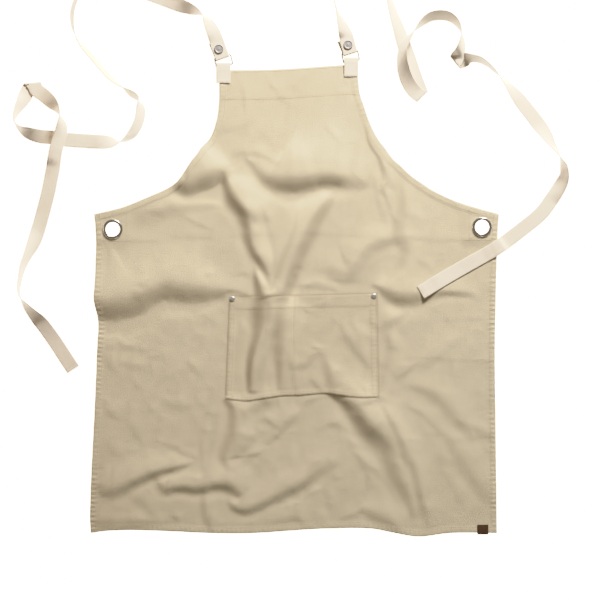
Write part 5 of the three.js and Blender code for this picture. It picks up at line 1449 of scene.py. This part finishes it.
def panel_stitch_runs():
    runs = []
    # lines run downwards; inside is to the right of the left side
    for line, sign in ((SIDE_LEFT, 1), (ARM_LEFT, 1), (SIDE_RIGHT, -1), (ARM_RIGHT, -1)):
        dist = [5.4] if line in (SIDE_LEFT, SIDE_RIGHT) else [1.5, 6.2]
        for d in dist:
            p = inset(line, sign * d)
            mid = np.array(line[len(line) // 2])
            if (p[len(p) // 2][0] - mid[0]) * sign < 0:
                p = inset(line, -sign * d)
            ok = (p[:, 1] > top_v(p[:, 0]) + 1.2) & (p[:, 1] < foot_v(p[:, 0]) - 5)
            if d == 6.2:
                ok &= (p[:, 0] > 99) & (p[:, 0] < 493)
            runs.append(on_panel(p[ok]))
    u = np.arange(95, 493, 2.0)
    runs.append(on_panel(np.stack([u, foot_v(u) - 5.6], 1)))
    u = np.arange(220.5, 358.5, 2.0)
    runs.append(on_panel(np.stack([u, top_v(u) + 29.6], 1)))
    u = np.arange(232, 343, 2.0)
    runs.append(on_panel(np.stack([u, top_v(u) + 2.0], 1)))
    # reinforcement behind each waist corner
    runs.append(on_panel(straight((126.5, 210.5), (126.5, 241))))
    runs.append(on_panel(straight((101, 241), (131, 241))))
    runs.append(on_panel(straight((469, 209), (469, 240.5))))
    runs.append(on_panel(straight((464, 240.5), (491.5, 240.5))))
    return runs


def pocket_stitch_runs():
    runs = []
    def line(s, t):
        s, t = np.asarray(s, float), np.asarray(t, float)
        s, t = np.broadcast_arrays(s, t)
        u, v = pocket_uv(s, t)
        return np.stack([X(u), Y(v), pocket_top(u, v, s, t) + 0.04], 1)
    n = 60
    for d in (1.6, 6.0):
        for s in (d / 150.0, 1 - d / 150.0):
            runs.append(line(np.full(n, s), np.linspace(0.012, 0.985, n)))
    for d in (1.3, 4.2):
        runs.append(line(np.linspace(0.012, 0.988, 90), np.full(90, 1 - d / 103.0)))
    runs.append(line(np.linspace(0.045, 0.955, 90), np.full(90, 12.6 / 103.0)))
    t = np.linspace(0.01, 0.96, n)
    s = np.full(n, (294.2 - 229) / 147.5)
    runs.append(line(s - 0.002 * t, t))
    return runs


# ---------------------------------------------------------------- build
def attach(ob, slot, *nodes):
    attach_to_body(ob, "root")
    if nodes:
        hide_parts(*nodes)
    return ob


make_camera()
make_light()

M_TWILL = twill("twill_panel")
M_POCKET = twill("twill_pocket", (0.985, 0.98, 0.975))
M_WEB = webbing("webbing_cream")
# painted light: the tabs use the strap webbing made 12% brighter
M_TAB = webbing("webbing_tab_painted_brighter", 1.12)
M_THREAD = thread("thread_beige", (0.35, 0.28, 0.18), (0.44, 0.36, 0.245))
M_THREAD_WEB = thread("thread_cream", (0.48, 0.40, 0.31), (0.58, 0.50, 0.40))
M_EYELET = metal("nickel_bright", (0.80, 0.79, 0.77), 0.20, 0.25)
M_RING = metal("nickel_wire", (0.36, 0.36, 0.36), 0.38, 0.35, 0.6)
M_SNAP = metal("antique_silver", (0.42, 0.40, 0.395), 0.50, 0.75, 0.3)
M_RIVET = metal("nickel_rivet", (0.62, 0.62, 0.63), 0.34, 0.5, 0.7)
M_LABEL = leather("label_leather")

strap_l, mids_l, secs_l = make_strap("strap_left_web", STRAP_LEFT, M_WEB)
strap_r, mids_r, secs_r = make_strap("strap_right_web", STRAP_RIGHT, M_WEB)
attach(strap_l, "webbing", "strap_left")
attach(strap_r, "webbing", "strap_right")

panel = attach(make_panel(M_TWILL), "twill", "apron_panel")
pocket = attach(make_pocket(M_POCKET), "twill", "pocket_panel")

# turned metal
TOP = 3.1 + CLOTH
EYELET_PROFILE = [(12.5, 0.8), (12.62, 0.35), (13.0, 0.05), (13.5, 0.0), (16.6, 0.0), (17.1, 0.15), (17.35, 0.6), (17.2, 1.2), (16.9, 1.5),
                  (13.2, 1.5), (13.2, TOP + 0.3), (17.6, TOP + 0.25), (17.95, TOP + 0.6), (18.0, TOP + 0.95), (17.8, TOP + 1.4), (17.3, TOP + 1.9),
                  (16.6, TOP + 2.3), (15.8, TOP + 2.52), (15.0, TOP + 2.6), (14.2, TOP + 2.55), (13.4, TOP + 2.3), (12.9, TOP + 1.95), (12.6, TOP + 1.5), (12.5, TOP + 1.0)]
for side in ("left", "right"):
    attach(lathe(f"eyelet_{side}_turned", EYELET_PROFILE, EYELETS[side], M_EYELET, 120), "eyelet_metal", f"eyelet_{side}")

def stack(u, v, s, t):
    return float(pocket_top(np.array([u]), np.array([v]), np.array([s]), np.array([t]))[0])

for side, (u, v), s in (("left", RIVETS["left"], 0.024), ("right", RIVETS["right"], 0.982)):
    z = stack(u, v, s, 0.02)
    prof = [(0, 0.0), (3.6, 0.0), (4.0, 0.3), (4.0, 1.0), (3.7, 1.3), (1.7, 1.3), (1.7, z - 0.05), (4.3, z), (4.6, z + 0.25), (4.5, z + 0.7),
            (4.0, z + 1.1), (3.0, z + 1.4), (2.4, z + 1.35), (1.5, z + 1.5), (0, z + 1.65)]
    attach(lathe(f"rivet_{side}_cap", prof, (u, v), M_RIVET, 48), "snap_metal", f"pocket_rivet_{side}")

CAP = [(0, 4.5), (4.8, 4.5), (5.1, 4.8), (5.2, 5.7), (2.5, 5.7), (2.5, 7.6), (7.9, 7.6), (8.3, 7.8), (8.4, 8.2), (8.3, 8.75), (7.9, 9.2), (7.3, 9.45),
       (6.7, 9.45), (6.2, 9.2), (5.8, 8.85), (5.2, 8.75), (4.2, 8.85), (3.4, 9.0), (2.9, 9.05), (2.4, 8.9), (1.9, 8.95), (1.2, 9.25), (0, 9.45)]
SOCKET = [(0, 0), (6.0, 0), (6.4, 0.2), (6.6, 0.6), (6.2, 1.2), (2.5, 1.2), (2.5, 3.1), (5.6, 3.1), (5.8, 3.4), (5.8, 3.7), (5.5, 3.9), (0, 3.9)]
snap_pieces = {}
for side in ("left", "right"):
    a = attach(lathe(f"snap_{side}_cap", CAP, SNAPS[side], M_SNAP, 72), "snap_metal", f"snap_cap_{side}")
    b = attach(lathe(f"snap_{side}_socket", SOCKET, SNAPS[side], M_SNAP, 48), "snap_metal", f"snap_socket_{side}")
    snap_pieces[side] = [a, b]

for side in ("left", "right"):
    r = RINGS[side]
    attach(tube_loop(f"ring_{side}_wire", ring_path(**r), 1.3, M_RING, 16), "ring_metal", f"ring_{side}")
    t = TABS[side]
    front = 1.6 + CLOTH + 0.55 + 0.3 + WEB_THICK / 2
    path = tab_path(t["top"], t["foot"], front)
    attach(make_strip(f"tab_{side}_web", path, t["u0"], t["u1"], M_TAB), "webbing", f"tab_{side}")

# label round the hem
LABEL = dict(u0=477.2, u1=488.2, top=524.6, foot=534.4, thick=0.9)
def label_path():
    back = 0.45
    zf = float(np.max(panel_top(np.linspace(478, 487.5, 5), np.full(5, 529.0)))) + 0.2 + 0.45
    r = (zf - back) / 2
    y0, y1 = float(Y(LABEL["top"])), float(Y(LABEL["foot"])) + r + back
    pts = [(y0, back), (y0 - 6, back), (y1, back)]
    for k in range(1, 10):
        a = -math.pi / 2 - math.pi * k / 10
        pts.append((y1 + r * math.cos(a), (zf + back) / 2 + r * math.sin(a)))
    return pts + [(y1, zf), (y0 - 6, zf), (y0, zf)]
attach(make_strip("label_bare", label_path(), LABEL["u0"], LABEL["u1"], M_LABEL, 0.9), "label", "hem_label")

# reinforcement cloth behind the waist corners
def make_patch(name, poly, mat):
    (u0, v0), (u1, v1) = np.min(poly, 0), np.max(poly, 0)
    us, vs = np.linspace(u0, u1, 30), np.linspace(0, 1, 30)
    P = np.array(poly, float)
    top_line = P[P[:, 1] < v1 - 1e-6]
    top_line = top_line[np.argsort(top_line[:, 0])]
    U, S = np.meshgrid(us, vs)
    vt = np.interp(U, top_line[:, 0], top_line[:, 1])
    V = vt + S * (v1 - vt)
    z = cloth_z(U, V)
    top = np.stack([X(U), Y(V), z - 0.12], 2)
    bot = np.stack([X(U), Y(V), np.maximum(z - 1.1, 0.05)], 2)
    c = EYELETS["left"] if u0 < 300 else EYELETS["right"]
    r = np.hypot(top[..., 0] - float(X(c[0])), top[..., 1] - float(Y(c[1])))
    gone = r < 14.8
    keep = ~(gone[:-1, :-1] & gone[1:, :-1] & gone[:-1, 1:] & gone[1:, 1:])
    for g in (top, bot):
        dx, dy = g[..., 0] - float(X(c[0])), g[..., 1] - float(Y(c[1]))
        rr = np.maximum(np.hypot(dx, dy), 1e-6)
        push = gone & (rr < 13.6)
        g[..., 0] = np.where(push, float(X(c[0])) + dx / rr * 13.6, g[..., 0])
        g[..., 1] = np.where(push, float(Y(c[1])) + dy / rr * 13.6, g[..., 1])
    return slab(name, top, bot, mat, keep, None, 55)


attach(make_patch("patch_left_cloth", [(98, 217), (104, 215), (126.5, 209.5), (126.5, 241), (98, 241)], M_TWILL), "twill", "eyelet_patch_left")
attach(make_patch("patch_right_cloth", [(469, 207.5), (477, 211.5), (494.5, 216), (494.5, 240.5), (469, 240.5)], M_TWILL), "twill", "eyelet_patch_right")

# stitching
attach(stitches("panel_stitches", panel_stitch_runs(), M_THREAD, 2.5, 3.3, 0.26), "twill")
attach(stitches("pocket_stitches", pocket_stitch_runs(), M_THREAD, 2.4, 3.2, 0.26), "twill")


def on_strap(mids, secs, back, half):
    """A line across the strap, back mm from its free end."""
    run = np.concatenate([[0], np.cumsum(np.linalg.norm(np.diff(mids, axis=0), axis=1))])
    k = int(np.argmin(np.abs(run - (run[-1] - back))))
    d = secs[k]["dir"]
    t = np.linspace(-half, half, 9)
    return np.stack([mids[k, 0] - d[1] * t, mids[k, 1] + d[0] * t, np.full(9, mids[k, 2] + WEB_THICK / 2 + 0.03)], 1)


end_l = attach(stitches("strap_left_end_stitches", [on_strap(mids_l, secs_l, 9.0, 10.8)], M_THREAD_WEB, 2.2, 2.8, 0.24), "webbing")
end_r = attach(stitches("strap_right_end_stitches", [on_strap(mids_r, secs_r, 9.0, 10.8), on_strap(mids_r, secs_r, 2.4, 10.8)], M_THREAD_WEB, 2.2, 2.8, 0.24), "webbing")
snap_pieces["left"].append(end_l)
snap_pieces["right"].append(end_r)
tab_runs = []
for side, line_v in (("left", 71.2), ("right", 63.4)):
    t = TABS[side]
    axis = float(Y(t["top"])) - TAB_R - WEB_THICK / 2
    foot_y = float(Y(t["foot"]))
    front = 1.6 + CLOTH + 0.55 + 0.3 + WEB_THICK / 2
    high = TAB_Z + TAB_R
    def tab_z(y):
        return front + (high - front) * float(1 - smooth((y - axis) / (foot_y - axis) / 0.92)) + WEB_THICK / 2 + 0.03
    x0, x1 = float(X(t["u0"])) + 2.2, float(X(t["u1"])) - 2.2
    for y in (float(Y(line_v)), foot_y + 2.4):
        tab_runs.append([(x, y, tab_z(y)) for x in np.linspace(x0, x1, 6)])
    for x in (x0, x1):
        tab_runs.append([(x, y, tab_z(y)) for y in np.linspace(float(Y(line_v)), foot_y + 2.4, 10)])
attach(stitches("tab_stitches", tab_runs, M_THREAD_WEB, 2.2, 2.8, 0.24), "webbing")


def floor():
    me = bpy.data.meshes.new("floor")
    s = 4.0
    me.from_pydata([(-s, -s, -0.0004), (s, -s, -0.0004), (s, s, -0.0004), (-s, s, -0.0004)], [], [(0, 1, 2, 3)])
    me.materials.append(floor_material())
    ob = bpy.data.objects.new("floor", me)
    bpy.context.collection.objects.link(ob)


floor()

# cords: each strap from its ring to its free end
def cord_facts(mids, secs, fold_at):
    i = int(np.argmin(np.linalg.norm(mids[:, :2] - fold_at, axis=1) + np.where(mids[:, 2] > 9, 99, 0)))
    path = mids[i:] / 1000.0
    length = float(np.linalg.norm(np.diff(path, axis=0), axis=1).sum())
    keep = [0]
    for k in range(1, len(path)):
        if np.linalg.norm(path[k] - path[keep[-1]]) > 0.0007 or k == len(path) - 1:
            keep.append(k)
    return [tuple(float(x) for x in path[k]) for k in keep], length


for ob, mids, secs, runs, side in ((strap_l, mids_l, secs_l, STRAP_LEFT, "left"), (strap_r, mids_r, secs_r, STRAP_RIGHT, "right")):
    f = fold_frame(runs[0]["fold"])
    path, length = cord_facts(mids, secs, f["at"] + f["over"] * f["r"])
    print("strap", side, "length", round(length, 4), "points", len(path))
